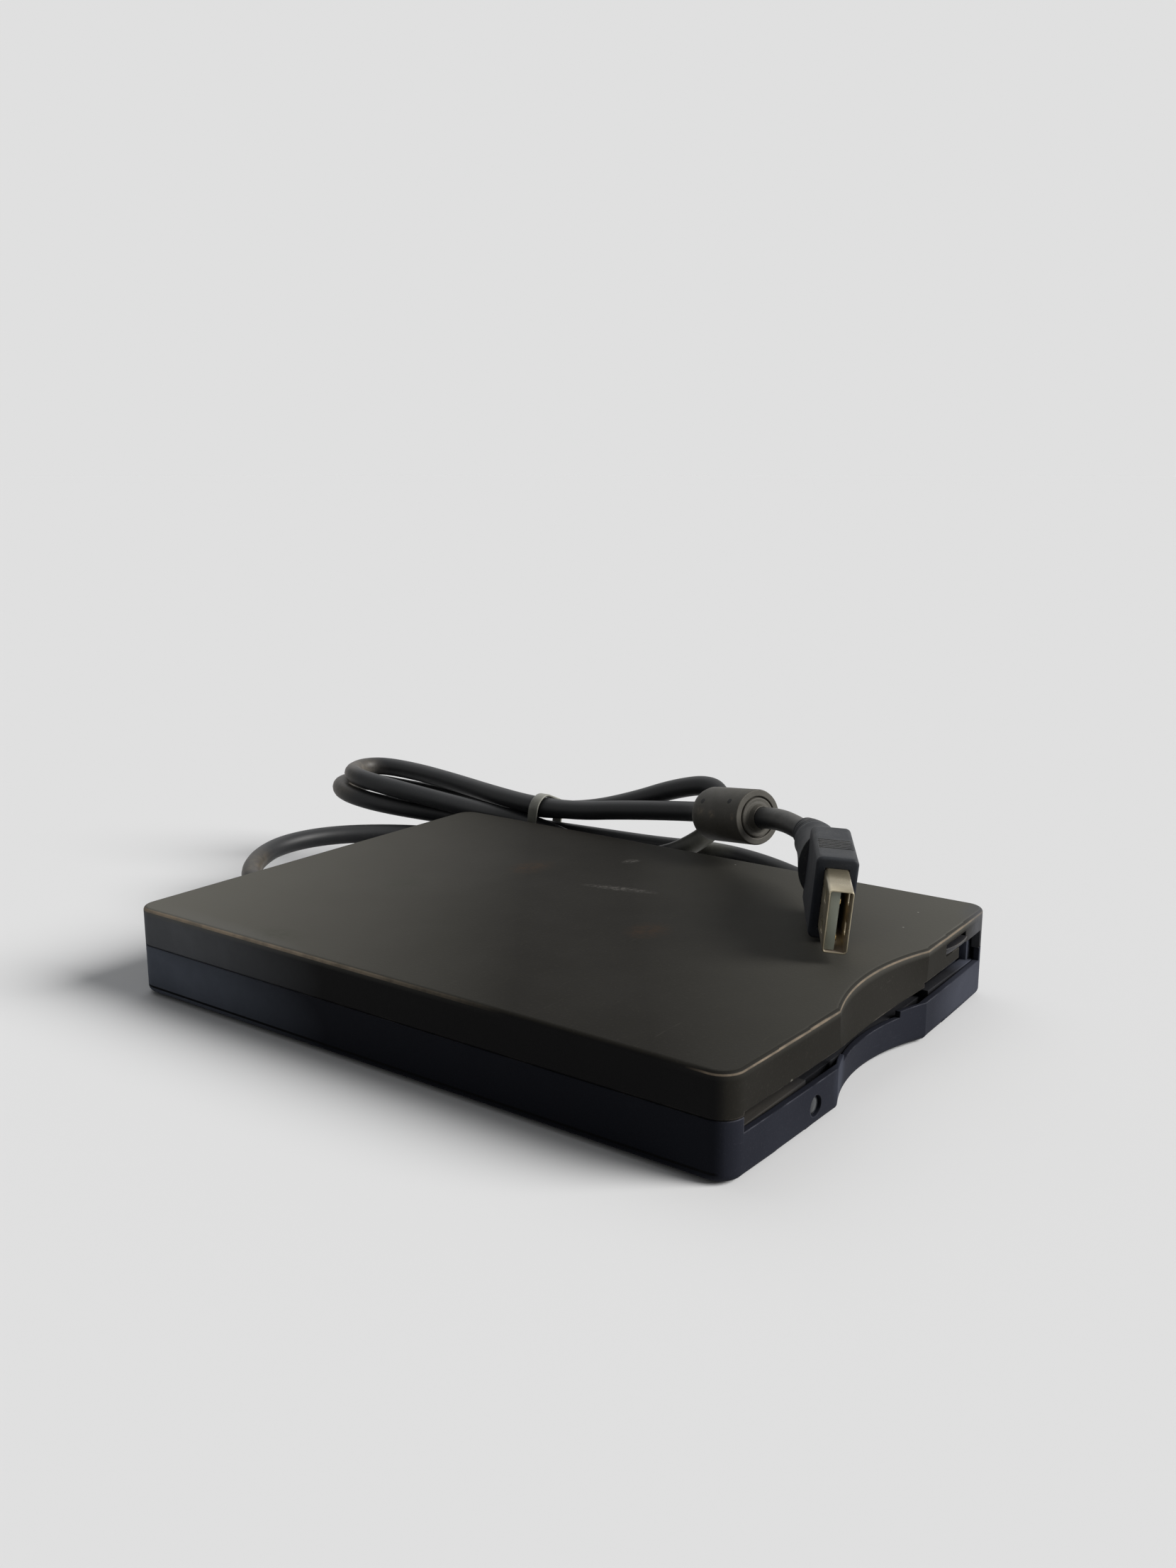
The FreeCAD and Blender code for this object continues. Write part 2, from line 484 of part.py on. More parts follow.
def bearing_block(x, y0, y1):
    return box(x - 2.6, x + 2.6, y0, y1, DECK, 10.4).cut(rod_y(x, RAIL_Z, y0 - 1, y1 + 1, RAIL_R + RUN))


def stepper_bracket():
    plate = box(SCREW_X - 6.5, SCREW_X + 6.5, 47.4, MOTOR_Y0, DECK, 12.4)
    return plate.cut(rod_y(SCREW_X, RAIL_Z, 40, 50, 1.7))


def stepper_motor():
    can = rod_y(SCREW_X, RAIL_Z, MOTOR_Y0, MOTOR_Y1, MOTOR_R)
    return can.cut(rod_y(SCREW_X, RAIL_Z, MOTOR_Y0 - 1, 51.1, RAIL_R + RUN))


# ---- boards ----------------------------------------------------------------------
def chip(x, y, z, wide, deep, high):
    return box(x - wide / 2, x + wide / 2, y - deep / 2, y + deep / 2, z, z + high)


def control_board():
    return box(-46, -21, 35, 55, 4.4, 5.2)


def usb_board():
    top = USB_BOARD_Z + 1.0
    board = box(-39, 39, 57.6, 68.6, USB_BOARD_Z, top)
    return board.cut(box(GLAND_X - 6, GLAND_X + 6, 66.6, 70, 0, 10))


def flat_cable():
    """The folded flat cable from the control board up and over to the USB board."""
    strip = [(50, 5.2), (50, 5.4), (55, 7.2), (58, 7.2), (61, 6.0), (61, 5.8),
             (60.7, 5.8), (57.8, 6.9), (55.2, 6.9), (50.4, 5.2)]
    wire = Part.makePolygon([V(-34, y, z) for y, z in strip + strip[:1]])
    return Part.Face(wire).extrude(V(10, 0, 0))


# ---- lead --------------------------------------------------------------------------
def cable_gland():
    flange = rod_y(GLAND_X, GLAND_Z, HALF_D - WALL - 2.0, HALF_D - WALL, 5.2)
    neck = rod_y(GLAND_X, GLAND_Z, HALF_D - WALL, HALF_D, GLAND_R)
    boot = Part.makeCone(4.4, 2.9, BOOT_LENGTH, V(GLAND_X, HALF_D, GLAND_Z), Y_AXIS)
    body = fuse([flange, neck, boot])
    grooves = []
    for i in range(4):
        y = HALF_D + 1.6 + 2.1 * i
        groove = rod_y(GLAND_X, GLAND_Z, y, y + 0.9, 6).cut(rod_y(GLAND_X, GLAND_Z, y - 1, y + 2, 2.6))
        side = box(-30, 30, y, y + 0.9, GLAND_Z - 1.0, GLAND_Z + 1.0)
        grooves.append(groove.cut(side))
    return cut(body, grooves)


def ferrite_frame(r_in, r_out, trim):
    axis = FERRITE_FRONT.sub(FERRITE_BACK)
    length = axis.Length
    axis.normalize()
    start = FERRITE_BACK + axis * trim
    solid = Part.makeCylinder(r_out, length - 2 * trim, start, axis)
    if r_in:
        solid = solid.cut(Part.makeCylinder(r_in, length, FERRITE_BACK, axis))
    return solid


def cable_tie():
    """A soft band pulled tight round the five passes of the hank."""
    passes = [(59.4, 9.4), (62.6, 13.8), (62.4, 19.1), (57.6, 21.1), (57.8, 16.0)]
    line = Part.makePolygon([V(x, 52.4, z) for x, z in passes + passes[:1]])

    def band(clear):
        return Part.Face(line).makeOffset2D(CORD_D / 2 + clear).extrude(V(0, 2.2, 0))
    return band(1.1).cut(band(0.5))


# ---- plug: drawn with its mouth at the origin and +X running back to the lead ------
def on_plug(shape):
    return placed(shape, PLUG_MOUTH, PLUG_YAW, PLUG_TILT, PLUG_ROLL)


def plug_block(x0, x1, thick, tall):
    return box(x0, x1, -thick / 2, thick / 2, -tall / 2, tall / 2)


def plug_shell():
    back = SHELL_L + 4.0
    shell = plug_block(0, back, SHELL_T, SHELL_W)
    inner = plug_block(-1, back - 1.0, SHELL_T - 2 * SHELL_WALL, SHELL_W - 2 * SHELL_WALL)
    windows = [box(4.2, 6.4, -4, 4, z - 1.2, z + 1.2) for z in (-2.9, 2.9)]
    return on_plug(cut(shell, [inner] + windows))


def plug_tongue():
    return on_plug(box(0.6, SHELL_L + 2.9, 0.1, SHELL_T / 2 - SHELL_WALL, -5.6, 5.6))


def plug_contacts():
    strips = []
    for z, ahead in ((-3.5, 1.4), (-1.0, 2.4), (1.0, 2.4), (3.5, 1.4)):
        strips.append(box(ahead, SHELL_L + 2.5, -0.12, 0.1, z - 0.5, z + 0.5))
    return on_plug(Part.makeCompound(strips))


def plug_overmold():
    rear = SHELL_L + MOULD_L
    body = plug_block(SHELL_L, rear, MOULD_T, MOULD_W)
    body = body.makeFillet(1.2, [e for e in body.Edges if e.BoundBox.XLength > 5])
    pocket = plug_block(SHELL_L - 1, SHELL_L + 4.05, SHELL_T, SHELL_W)
    grip = []
    for i in range(GRIP_RIBS):
        x = SHELL_L + 5.7 + GRIP_PITCH * i
        for z in (-MOULD_W / 2 - 1, MOULD_W / 2 - 0.35):
            grip.append(box(x, x + GRIP_PITCH / 2, -MOULD_T / 2 + 0.7, MOULD_T / 2 - 0.7, z, z + 1.35))
    return on_plug(cut(body, [pocket] + grip))


def plug_strain_relief():
    """A sleeve that bends with the lead behind the plug and flares to the overmold's rear."""
    frame = FreeCAD.Placement(PLUG_MOUTH, FreeCAD.Rotation(PLUG_YAW, PLUG_TILT, PLUG_ROLL))
    centres = [V(*p) for p in RELIEF_ROUTE]
    ways = [V(*TAIL_ROUTE[-1]).sub(V(*TAIL_ROUTE[-2]))]
    ways += [a.sub(b) for a, b in zip(centres, centres[2:])]
    ways.append(centres[-2].sub(frame.multVec(V(SHELL_L + MOULD_L, 0, 0))))
    wires, rings = [], []
    for centre, way, radius in zip(centres, ways, RELIEF_RADII):
        wires.append(Part.Wire(Part.makeCircle(radius, centre, way)))
        if radius != RELIEF_RADII[0] and radius != RELIEF_RADII[-1]:
            way = V(way).normalize()
            rings.append(Part.makeCylinder(radius + 0.3, 1.2, centre - way * 0.6, way))
    for behind, tall, thick in ((3.2, 5.2, 4.3), (0.9, 6.4, 4.6), (0.0, 6.5, 4.2)):
        at = frame.multVec(V(SHELL_L + MOULD_L + behind, ROOT_SIDE, 0))
        along, across = frame.Rotation.multVec(Z_AXIS), frame.Rotation.multVec(Y_AXIS)
        oval = Part.Ellipse(at + along * tall, at + across * thick, at)
        wires.append(Part.Wire(oval.toShape()))
    sleeve = Part.makeLoft(wires, True, False)
    return fuse([sleeve] + rings)


# ---- write the nodes ----------------------------------------------------------------
os.makedirs("parts", exist_ok=True)

save("top_cover", top_cover())
save("bottom_cover", bottom_cover())
save("case_screws", Part.makeCompound([screw(x, y, 13.0) for x, y in CASE_SCREWS]))
save("mechanism_screws", Part.makeCompound([screw(x, y, DECK + 0.3) for x, y in MECH_SCREWS]))
save("rubber_feet", Part.makeCompound([foot(x, y) for x, y in FEET_XY]))
save("slot_bezel", slot_bezel())
save("slot_door", slot_door())
save("eject_button", eject_button())
save("indicator_lens", indicator_lens())
save("indicator_led", indicator_led())

save("drive_chassis", drive_chassis())
save("drive_top_plate", drive_top_plate())
save("disk_carrier", disk_carrier())
save("eject_slider", eject_slider())
save("eject_lever", eject_lever())
save("lever_circlip", ring(LEVER_X, LEVER_Y, 13.15, 13.4, 1.5, 2.6).cut(
    box(LEVER_X - 0.5, LEVER_X + 0.5, LEVER_Y, LEVER_Y + 4, 13, 14)))

save("motor_board", box(-28, 28, -45, 2, DECK, DECK + 0.6).cut(post(0, SPINDLE_Y, 0, 9, 3.55)))
save("spindle_bearing", ring(0, SPINDLE_Y, CHASSIS_Z, 4.6, 1.5 + RUN, 3.5))
save("stator_core", stator_core().cut(post(0, SPINDLE_Y, 0, 9, 3.5)))
save("stator_coils", stator_coils())
save("spindle_rotor", spindle_rotor())
save("rotor_magnet", ring(0, SPINDLE_Y, ROTOR_LOW, ROTOR_TOP - 0.4, MAGNET_R, ROTOR_R - 0.6))
save("spindle_hub", spindle_hub())
save("spindle_shaft", post(0, SPINDLE_Y, CHASSIS_Z + 0.1, 7.2, 1.5))
save("drive_pin", post(7.5, SPINDLE_Y, ROTOR_TOP, 7.2, 1.0))

save("head_carriage", head_carriage())
save("lower_head", box(-3.2, 3.2, HEAD_Y - 3, HEAD_Y + 3, 6.0, 7.1))
save("head_arm", head_arm())
save("arm_pin", rod_x(ARM_Y, ARM_Z, -9.2, 9.2, 0.8))
save("upper_head", raised(box(-3.2, 3.2, HEAD_Y - 3, HEAD_Y + 3, 7.4, 9.6)))
save("guide_rail", rod_y(RAIL_X, RAIL_Z, BEARING_Y0, 55.4, RAIL_R))
save("rail_clamps", Part.makeCompound([bearing_block(RAIL_X, BEARING_Y0, BEARING_Y1),
                                       bearing_block(RAIL_X, 53.6, 55.1)]))
save("lead_screw", rod_y(SCREW_X, RAIL_Z, BEARING_Y0, 51.0, RAIL_R))
save("screw_bearing", bearing_block(SCREW_X, BEARING_Y0, BEARING_Y1))
save("stepper_bracket", stepper_bracket())
save("stepper_motor", stepper_motor())

save("control_board", control_board())
save("control_chip", chip(-33, 42, 5.2, 11, 11, 1.4))
save("usb_board", usb_board())
save("usb_chip", chip(12, 63, USB_BOARD_Z + 1, 8, 8, 1.4))
save("clock_crystal", chip(0.5, 63, USB_BOARD_Z + 1, 3.6, 8, 3.2))
save("capacitors", Part.makeCompound([post(x, 63, USB_BOARD_Z + 1, USB_BOARD_Z + 6.4, 2.2)
                                      for x in (22.0, 37.0)]))
save("lead_header", chip(GLAND_X, 61, USB_BOARD_Z + 1, 10, 4, 4.2))
save("flat_cable", flat_cable())

save("cable_gland", cable_gland())
save("lead_wires", Part.makeCompound([rod_y(GLAND_X + dx, 8.4, 63, HALF_D - WALL - 2.0, 0.45)
                                      for dx in (-1.8, -0.6, 0.6, 1.8)]))
save("cord_lead", tube(LEAD_ROUTE, CORD_D, "cord_lead"))
save("cord_tail", tube(TAIL_ROUTE, CORD_D, "cord_tail"))
save("cable_tie", cable_tie())
save("ferrite_sleeve", ferrite_frame(0, FERRITE_R, 0).cut(ferrite_frame(2.9, 5.2, 1.4)))
save("ferrite_core", ferrite_frame(2.9, 5.2, 1.4))
save("plug_strain_relief", plug_strain_relief())
save("plug_overmold", plug_overmold())
save("plug_shell", plug_shell())
save("plug_tongue", plug_tongue())
save("plug_contacts", plug_contacts())
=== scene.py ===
"""The looks of an external USB floppy disk drive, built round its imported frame.

Metres, Z up. The disk slot faces -Y, the lead leaves the rear at +Y, and the eject
button is at the +X end of the front.
"""
import math

import bmesh
import bpy
from mathutils import Matrix, Vector
from mathutils.geometry import interpolate_bezier


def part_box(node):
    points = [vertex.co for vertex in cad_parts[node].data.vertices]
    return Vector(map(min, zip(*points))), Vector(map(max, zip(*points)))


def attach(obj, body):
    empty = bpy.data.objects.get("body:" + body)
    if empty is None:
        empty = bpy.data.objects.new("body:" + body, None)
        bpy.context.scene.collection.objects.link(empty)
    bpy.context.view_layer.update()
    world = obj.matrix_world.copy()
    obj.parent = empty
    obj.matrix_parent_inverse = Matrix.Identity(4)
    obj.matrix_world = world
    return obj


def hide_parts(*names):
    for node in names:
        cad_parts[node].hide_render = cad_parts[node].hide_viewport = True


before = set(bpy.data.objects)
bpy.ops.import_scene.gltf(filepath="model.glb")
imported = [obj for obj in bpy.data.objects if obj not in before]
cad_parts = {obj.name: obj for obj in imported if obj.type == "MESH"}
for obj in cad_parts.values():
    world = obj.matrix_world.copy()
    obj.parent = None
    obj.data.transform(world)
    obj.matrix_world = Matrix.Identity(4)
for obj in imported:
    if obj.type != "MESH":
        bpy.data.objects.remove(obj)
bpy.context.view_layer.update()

# ---- Studio ----------------------------------------------------------------------
# A pale seamless table, lit by one broad soft lamp from the front right, a weaker one from
# behind and a dim even sky. The camera stands low, off the drive's left front corner.
MM = 0.001
PALE = 0.745
SKY = 0.16
LAMPS = {
    "key_lamp": ((0.32, -0.78, 0.52), 4.5, (1.0, 0.985, 0.965), 34),
    "rear_lamp": ((0.30, 0.50, 0.80), 0.45, (0.96, 0.98, 1.0), 60),
}

camera_data = bpy.data.cameras.new("camera")
camera_data.lens = 32.2037
camera = bpy.data.objects.new("camera", camera_data)
camera.location = (-0.218267, -0.166427, 0.105190)
camera.rotation_euler = (math.radians(77.460), math.radians(0.040), math.radians(-53.736))
bpy.context.collection.objects.link(camera)
bpy.context.scene.camera = camera
bpy.context.scene.view_settings.view_transform = "Standard"

for name, (toward, strength, colour, spread) in LAMPS.items():
    lamp_data = bpy.data.lights.new(name, "SUN")
    lamp_data.energy = strength
    lamp_data.color = colour
    lamp_data.angle = math.radians(spread)
    lamp = bpy.data.objects.new(name, lamp_data)
    lamp.rotation_euler = Vector(toward).to_track_quat("Z", "Y").to_euler()
    bpy.context.collection.objects.link(lamp)


def add_node(tree, kind, inputs=(), **settings):
    """A shader node whose inputs are plain values or other nodes' output sockets."""
    node = tree.nodes.new(kind)
    for key, value in settings.items():
        setattr(node, key, value)
    for key, value in dict(inputs).items():
        if isinstance(value, bpy.types.NodeSocket):
            tree.links.new(value, node.inputs[key])
        else:
            node.inputs[key].default_value = value
    return node


def math_node(tree, operation, *values):
    return add_node(tree, "ShaderNodeMath", enumerate(values), operation=operation).outputs[0]


def ramp(tree, value, start, end, low=0.0, high=1.0):
    """The value stretched so that start gives low and end gives high, clamped to both."""
    node = add_node(tree, "ShaderNodeMapRange",
                    {"Value": value, "From Min": start, "From Max": end, "To Min": low, "To Max": high})
    return node.outputs[0]


def mix_colour(tree, factor, below, above):
    """The colour below, covered by the colour above where the mask is 1."""
    node = tree.nodes.new("ShaderNodeMix")
    node.data_type = "RGBA"
    for index, value in ((0, factor), (6, below), (7, above)):
        if isinstance(value, bpy.types.NodeSocket):
            tree.links.new(value, node.inputs[index])
        elif index == 0:
            node.inputs[index].default_value = value
        else:
            node.inputs[index].default_value = (*value, 1)
    return node.outputs[2]


world = bpy.data.worlds.new("studio_sky")
world.use_nodes = True
world_tree = world.node_tree
world_tree.nodes.clear()
light_path = add_node(world_tree, "ShaderNodeLightPath")
seen = math_node(world_tree, "MAXIMUM", light_path.outputs["Is Camera Ray"],
                 light_path.outputs["Is Transmission Ray"])
seen = math_node(world_tree, "MAXIMUM", seen, light_path.outputs["Is Glossy Ray"])
sky = add_node(world_tree, "ShaderNodeBackground", {"Color": (1, 1, 1, 1), "Strength": SKY})
backdrop = add_node(world_tree, "ShaderNodeBackground", {"Color": (1, 1, 1, 1), "Strength": PALE})
sky_mix = add_node(world_tree, "ShaderNodeMixShader",
                   {0: seen, 1: sky.outputs[0], 2: backdrop.outputs[0]})
add_node(world_tree, "ShaderNodeOutputWorld", {"Surface": sky_mix.outputs[0]})
bpy.context.scene.world = world


def light_on_table():
    """The light that falls on the bare table, red, green and blue, where 1 shows a colour as it is."""
    total = [SKY] * 3
    for toward, strength, colour, _spread in LAMPS.values():
        share = strength * Vector(toward).normalized().z / math.pi
        total = [level + share * part for level, part in zip(total, colour)]
    return total


table_bm = bmesh.new()
bmesh.ops.create_grid(table_bm, x_segments=2, y_segments=2, size=40)
table_mesh = bpy.data.meshes.new("table")
table_bm.to_mesh(table_mesh)
table_bm.free()
table = bpy.data.objects.new("table", table_mesh)
bpy.context.collection.objects.link(table)
table_finish = bpy.data.materials.new("table_paper")
table_finish.use_nodes = True
table_shader = table_finish.node_tree.nodes["Principled BSDF"]
table_shader.inputs["Base Color"].default_value = (*[PALE / part for part in light_on_table()], 1)
table_shader.inputs["Roughness"].default_value = 1.0
table_shader.inputs["Specular IOR Level"].default_value = 0.0
table_mesh.materials.append(table_finish)


# ---- Bottom cover ------------------------------------------------------------------
# The lower half of the case, injection moulded in blue-black ABS with a fine spark-eroded
# grain. It carries the mechanism on its screw posts, and the feet in shallow pockets.
def effect(name, inputs, outputs):
    """A new shader node group with its input and output nodes."""
    group = bpy.data.node_groups.new(name, "ShaderNodeTree")
    for label, kind, value in inputs:
        socket = group.interface.new_socket(label, in_out="INPUT", socket_type=kind)
        socket.default_value = value
    for label, kind in outputs:
        group.interface.new_socket(label, in_out="OUTPUT", socket_type=kind)
    return group, group.nodes.new("NodeGroupInput").outputs, group.nodes.new("NodeGroupOutput").inputs


def use_effect(tree, group, **values):
    """One placement of an effect in a material, with its own values."""
    node = tree.nodes.new("ShaderNodeGroup")
    node.node_tree = group
    for label, value in values.items():
        node.inputs[label].default_value = value
    return node.outputs


FLOAT, POINT = "NodeSocketFloat", "NodeSocketVector"


def noise(tree, place, scale, detail=3.0, roughness=0.55, distortion=0.0):
    node = add_node(tree, "ShaderNodeTexNoise", {"Vector": place, "Scale": scale, "Detail": detail,
                                                 "Roughness": roughness, "Distortion": distortion})
    return node.outputs[0]


def object_place(tree):
    return add_node(tree, "ShaderNodeTexCoord").outputs["Object"]


# Grain: the pebbled skin of a spark-eroded mould, and slow changes of tone over the part.
grain, given, result = effect(
    "moulded_grain", [("Pitch", FLOAT, 0.0005), ("Cloud", FLOAT, 0.03)],
    [("Height", FLOAT), ("Tone", FLOAT), ("Fleck", FLOAT)])
place = object_place(grain)
pebbles = noise(grain, place, math_node(grain, "DIVIDE", 1.0, given["Pitch"]), 2.0)
cloud = noise(grain, place, math_node(grain, "DIVIDE", 1.0, given["Cloud"]), 4.0, 0.6)
grain.links.new(pebbles, result["Height"])
grain.links.new(ramp(grain, cloud, 0.3, 0.7), result["Tone"])
grain.links.new(ramp(grain, pebbles, 0.58, 0.75), result["Fleck"])

# Rub: where corners and edges have been handled, broken up into patches. Soft is the normal
# of a surface whose sharp edges are rounded off by the same width.
rub, given, result = effect(
    "rubbed_edge", [("Width", FLOAT, 0.0006), ("Patch", FLOAT, 0.006), ("Amount", FLOAT, 0.5)],
    [("Mask", FLOAT), ("Soft", POINT)])
rounded = add_node(rub, "ShaderNodeBevel", {"Radius": given["Width"]}, samples=6).outputs[0]
true_normal = add_node(rub, "ShaderNodeNewGeometry").outputs["Normal"]
facing = add_node(rub, "ShaderNodeVectorMath", {0: rounded, 1: true_normal}, operation="DOT_PRODUCT")
edge = ramp(rub, facing.outputs["Value"], 0.995, 0.90)
patches = noise(rub, object_place(rub), math_node(rub, "DIVIDE", 1.0, given["Patch"]), 5.0, 0.65)
limit = math_node(rub, "MULTIPLY", math_node(rub, "SUBTRACT", 1.0, given["Amount"]), 0.6)
worn = ramp(rub, math_node(rub, "MULTIPLY", edge, patches), limit, math_node(rub, "ADD", limit, 0.25))
rub.links.new(worn, result["Mask"])
rub.links.new(rounded, result["Soft"])

# Scuffs: short fine lines left by other things in a drawer.
scuff, given, result = effect(
    "drawer_scuffs", [("Length", FLOAT, 0.012), ("Amount", FLOAT, 0.3)], [("Mask", FLOAT)])
place = object_place(scuff)
lines = 0.0
for turn, stretch in ((0.4, 14.0), (1.3, 18.0), (2.5, 16.0)):
    laid = add_node(scuff, "ShaderNodeMapping",
                    {"Vector": place, "Rotation": (0.2, 0.1, turn), "Scale": (1.0, stretch, stretch)})
    strokes = noise(scuff, laid.outputs[0], math_node(scuff, "DIVIDE", 1.0, given["Length"]), 3.0, 0.6)
    lines = math_node(scuff, "MAXIMUM", lines, ramp(scuff, strokes, 0.70, 0.80))
scuff.links.new(math_node(scuff, "MULTIPLY", lines, given["Amount"]), result["Mask"])

# Smudge: one stain, scratch or speck of a given size at a given place.
smudge, given, result = effect(
    "smudge", [("Centre", POINT, (0, 0, 0)), ("Size", POINT, (1, 1, 1)), ("Turn", FLOAT, 0.0),
               ("Break", FLOAT, 0.5), ("Strand", FLOAT, 0.002)], [("Mask", FLOAT)])
away = add_node(smudge, "ShaderNodeVectorMath", {0: object_place(smudge), 1: given["Centre"]},
                operation="SUBTRACT").outputs[0]
turned_away = add_node(smudge, "ShaderNodeVectorRotate", {"Vector": away, "Angle": given["Turn"]},
                       rotation_type="Z_AXIS").outputs[0]
shares = add_node(smudge, "ShaderNodeVectorMath", {0: turned_away, 1: given["Size"]},
                  operation="DIVIDE").outputs[0]
far = add_node(smudge, "ShaderNodeVectorMath", {0: shares}, operation="LENGTH").outputs["Value"]
strands = noise(smudge, turned_away, math_node(smudge, "DIVIDE", 1.0, given["Strand"]), 3.0, 0.6)
whole = ramp(smudge, far, 1.0, 0.35)
broken = math_node(smudge, "MULTIPLY", whole, ramp(smudge, strands, 0.42, 0.62))
kept = math_node(smudge, "MULTIPLY", whole, math_node(smudge, "SUBTRACT", 1.0, given["Break"]))
smudge.links.new(math_node(smudge, "ADD", math_node(smudge, "MULTIPLY", broken, given["Break"]), kept),
                 result["Mask"])


def moulded_plastic(name, dark, light, worn, roughness=0.6, gloss=0.1, pitch=0.0004, relief=0.02,
                    edge=0.0004, wear=0.3, cloud=0.03, scuffs=0.2, fleck=0.12):
    """A moulded plastic: two close tones, pebbled grain, rubbed edges and fine scuffs."""
    finish = bpy.data.materials.new(name)
    finish.use_nodes = True
    tree = finish.node_tree
    shader = tree.nodes["Principled BSDF"]
    skin = use_effect(tree, grain, Pitch=pitch, Cloud=cloud)
    edges = use_effect(tree, rub, Width=edge, Amount=wear)
    marks = use_effect(tree, scuff, Amount=scuffs)
    colour = mix_colour(tree, skin["Tone"], dark, light)
    colour = mix_colour(tree, math_node(tree, "MULTIPLY", skin["Fleck"], fleck), colour, worn)
    colour = mix_colour(tree, marks["Mask"], colour, worn)
    colour = mix_colour(tree, edges["Mask"], colour, worn)
    tree.links.new(colour, shader.inputs["Base Color"])
    polish = math_node(tree, "MULTIPLY_ADD", edges["Mask"], -0.15, roughness)
    polish = math_node(tree, "MULTIPLY_ADD", skin["Tone"], -0.06, polish)
    tree.links.new(polish, shader.inputs["Roughness"])
    bump = add_node(tree, "ShaderNodeBump", {"Strength": 1.0, "Distance": relief * MM,
                                             "Height": skin["Height"], "Normal": edges["Soft"]})
    tree.links.new(bump.outputs[0], shader.inputs["Normal"])
    shader.inputs["Specular IOR Level"].default_value = gloss
    return finish


def add_mark(finish, mask, colour):
    """Lays one more mark over a finish's colour."""
    tree = finish.node_tree
    base = tree.nodes["Principled BSDF"].inputs["Base Color"]
    tree.links.new(mix_colour(tree, mask, base.links[0].from_socket, colour), base)


def add_smudge(finish, centre, size, colour, amount, turn=0.0, gaps=0.5, strand=2.0):
    """A stain, scratch or speck, its place and size in millimetres."""
    tree = finish.node_tree
    mask = use_effect(tree, smudge, Centre=Vector(centre) * MM, Size=Vector(size) * MM,
                      Turn=math.radians(turn), Break=gaps, Strand=strand * MM)["Mask"]
    add_mark(finish, math_node(tree, "MULTIPLY", mask, amount), colour)


def dress(finish, *nodes):
    """Gives frame pieces that keep their shape their own finish."""
    for node in nodes:
        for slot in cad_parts[node].material_slots:
            slot.material = finish


def paint_flank_shade(finish, colour):
    """Paints shade on the flanks, so that they stay blacker than the top and the front."""
    tree = finish.node_tree
    normal = add_node(tree, "ShaderNodeNewGeometry").outputs["Normal"]
    sideways = add_node(tree, "ShaderNodeSeparateXYZ", {0: normal}).outputs["X"]
    add_mark(finish, ramp(tree, math_node(tree, "ABSOLUTE", sideways), 0.75, 0.97, 0.0, 0.8), colour)


bottom_plastic = moulded_plastic("bottom_cover_plastic", (0.0115, 0.0125, 0.0180),
                                 (0.0165, 0.0180, 0.0250), (0.070, 0.072, 0.086), roughness=0.66,
                                 gloss=0.04, wear=0.28, fleck=0.08)
# Painted shade on both flanks. Painted light at the rear of the left flank and in the left part of
# the front's scoop, and a lighter patch towards the front's right end. A line of painted shade
# runs along the left flank's lower edge, where the base has a small step.
LEFT_WALL_X = -51.5
STEP_SHADE_Z, STEP_SHADE_HALF_WIDTH, STEP_SHADE_BLUR = 1.95, 0.16, 0.12
paint_flank_shade(bottom_plastic, (0.0032, 0.0037, 0.0056))
add_smudge(bottom_plastic, (LEFT_WALL_X, 74, 4), (6, 58, 16), (0.085, 0.096, 0.120), 0.9, gaps=0.1,
           strand=9)
add_smudge(bottom_plastic, (-15, -69, 5), (5, 5, 8), (0.034, 0.038, 0.053), 0.8, gaps=0.1)
add_smudge(bottom_plastic, (42, -70, 4), (20, 6, 9), (0.046, 0.050, 0.066), 0.7, gaps=0.1)
tree = bottom_plastic.node_tree
place = add_node(tree, "ShaderNodeSeparateXYZ", {0: object_place(tree)}).outputs
# The painted shade line of the base's step, on the left flank only.
off_step_shade = math_node(tree, "ABSOLUTE", math_node(tree, "SUBTRACT", place["Z"], STEP_SHADE_Z * MM))
on_step_shade = ramp(tree, off_step_shade, (STEP_SHADE_HALF_WIDTH + STEP_SHADE_BLUR) * MM, STEP_SHADE_HALF_WIDTH * MM)
on_left_wall = ramp(tree, place["X"], (LEFT_WALL_X + 0.5) * MM, (LEFT_WALL_X + 0.2) * MM)
flank_step_shade = math_node(tree, "MULTIPLY", on_step_shade, on_left_wall)
add_mark(bottom_plastic, flank_step_shade, (0.0012, 0.0012, 0.0015))
dress(bottom_plastic, "bottom_cover")


# ---- Feet and screws ----------------------------------------------------------------
# Four round feet cut from black rubber sheet sit in the bottom cover's pockets. Pan-head
# screws of blackened steel hold the covers together and the chassis to its posts.
foot_rubber = moulded_plastic("foot_rubber", (0.010, 0.010, 0.011), (0.018, 0.018, 0.018),
                              (0.06, 0.057, 0.052), roughness=0.85, gloss=0.15, pitch=0.0003)
dress(foot_rubber, "rubber_feet")

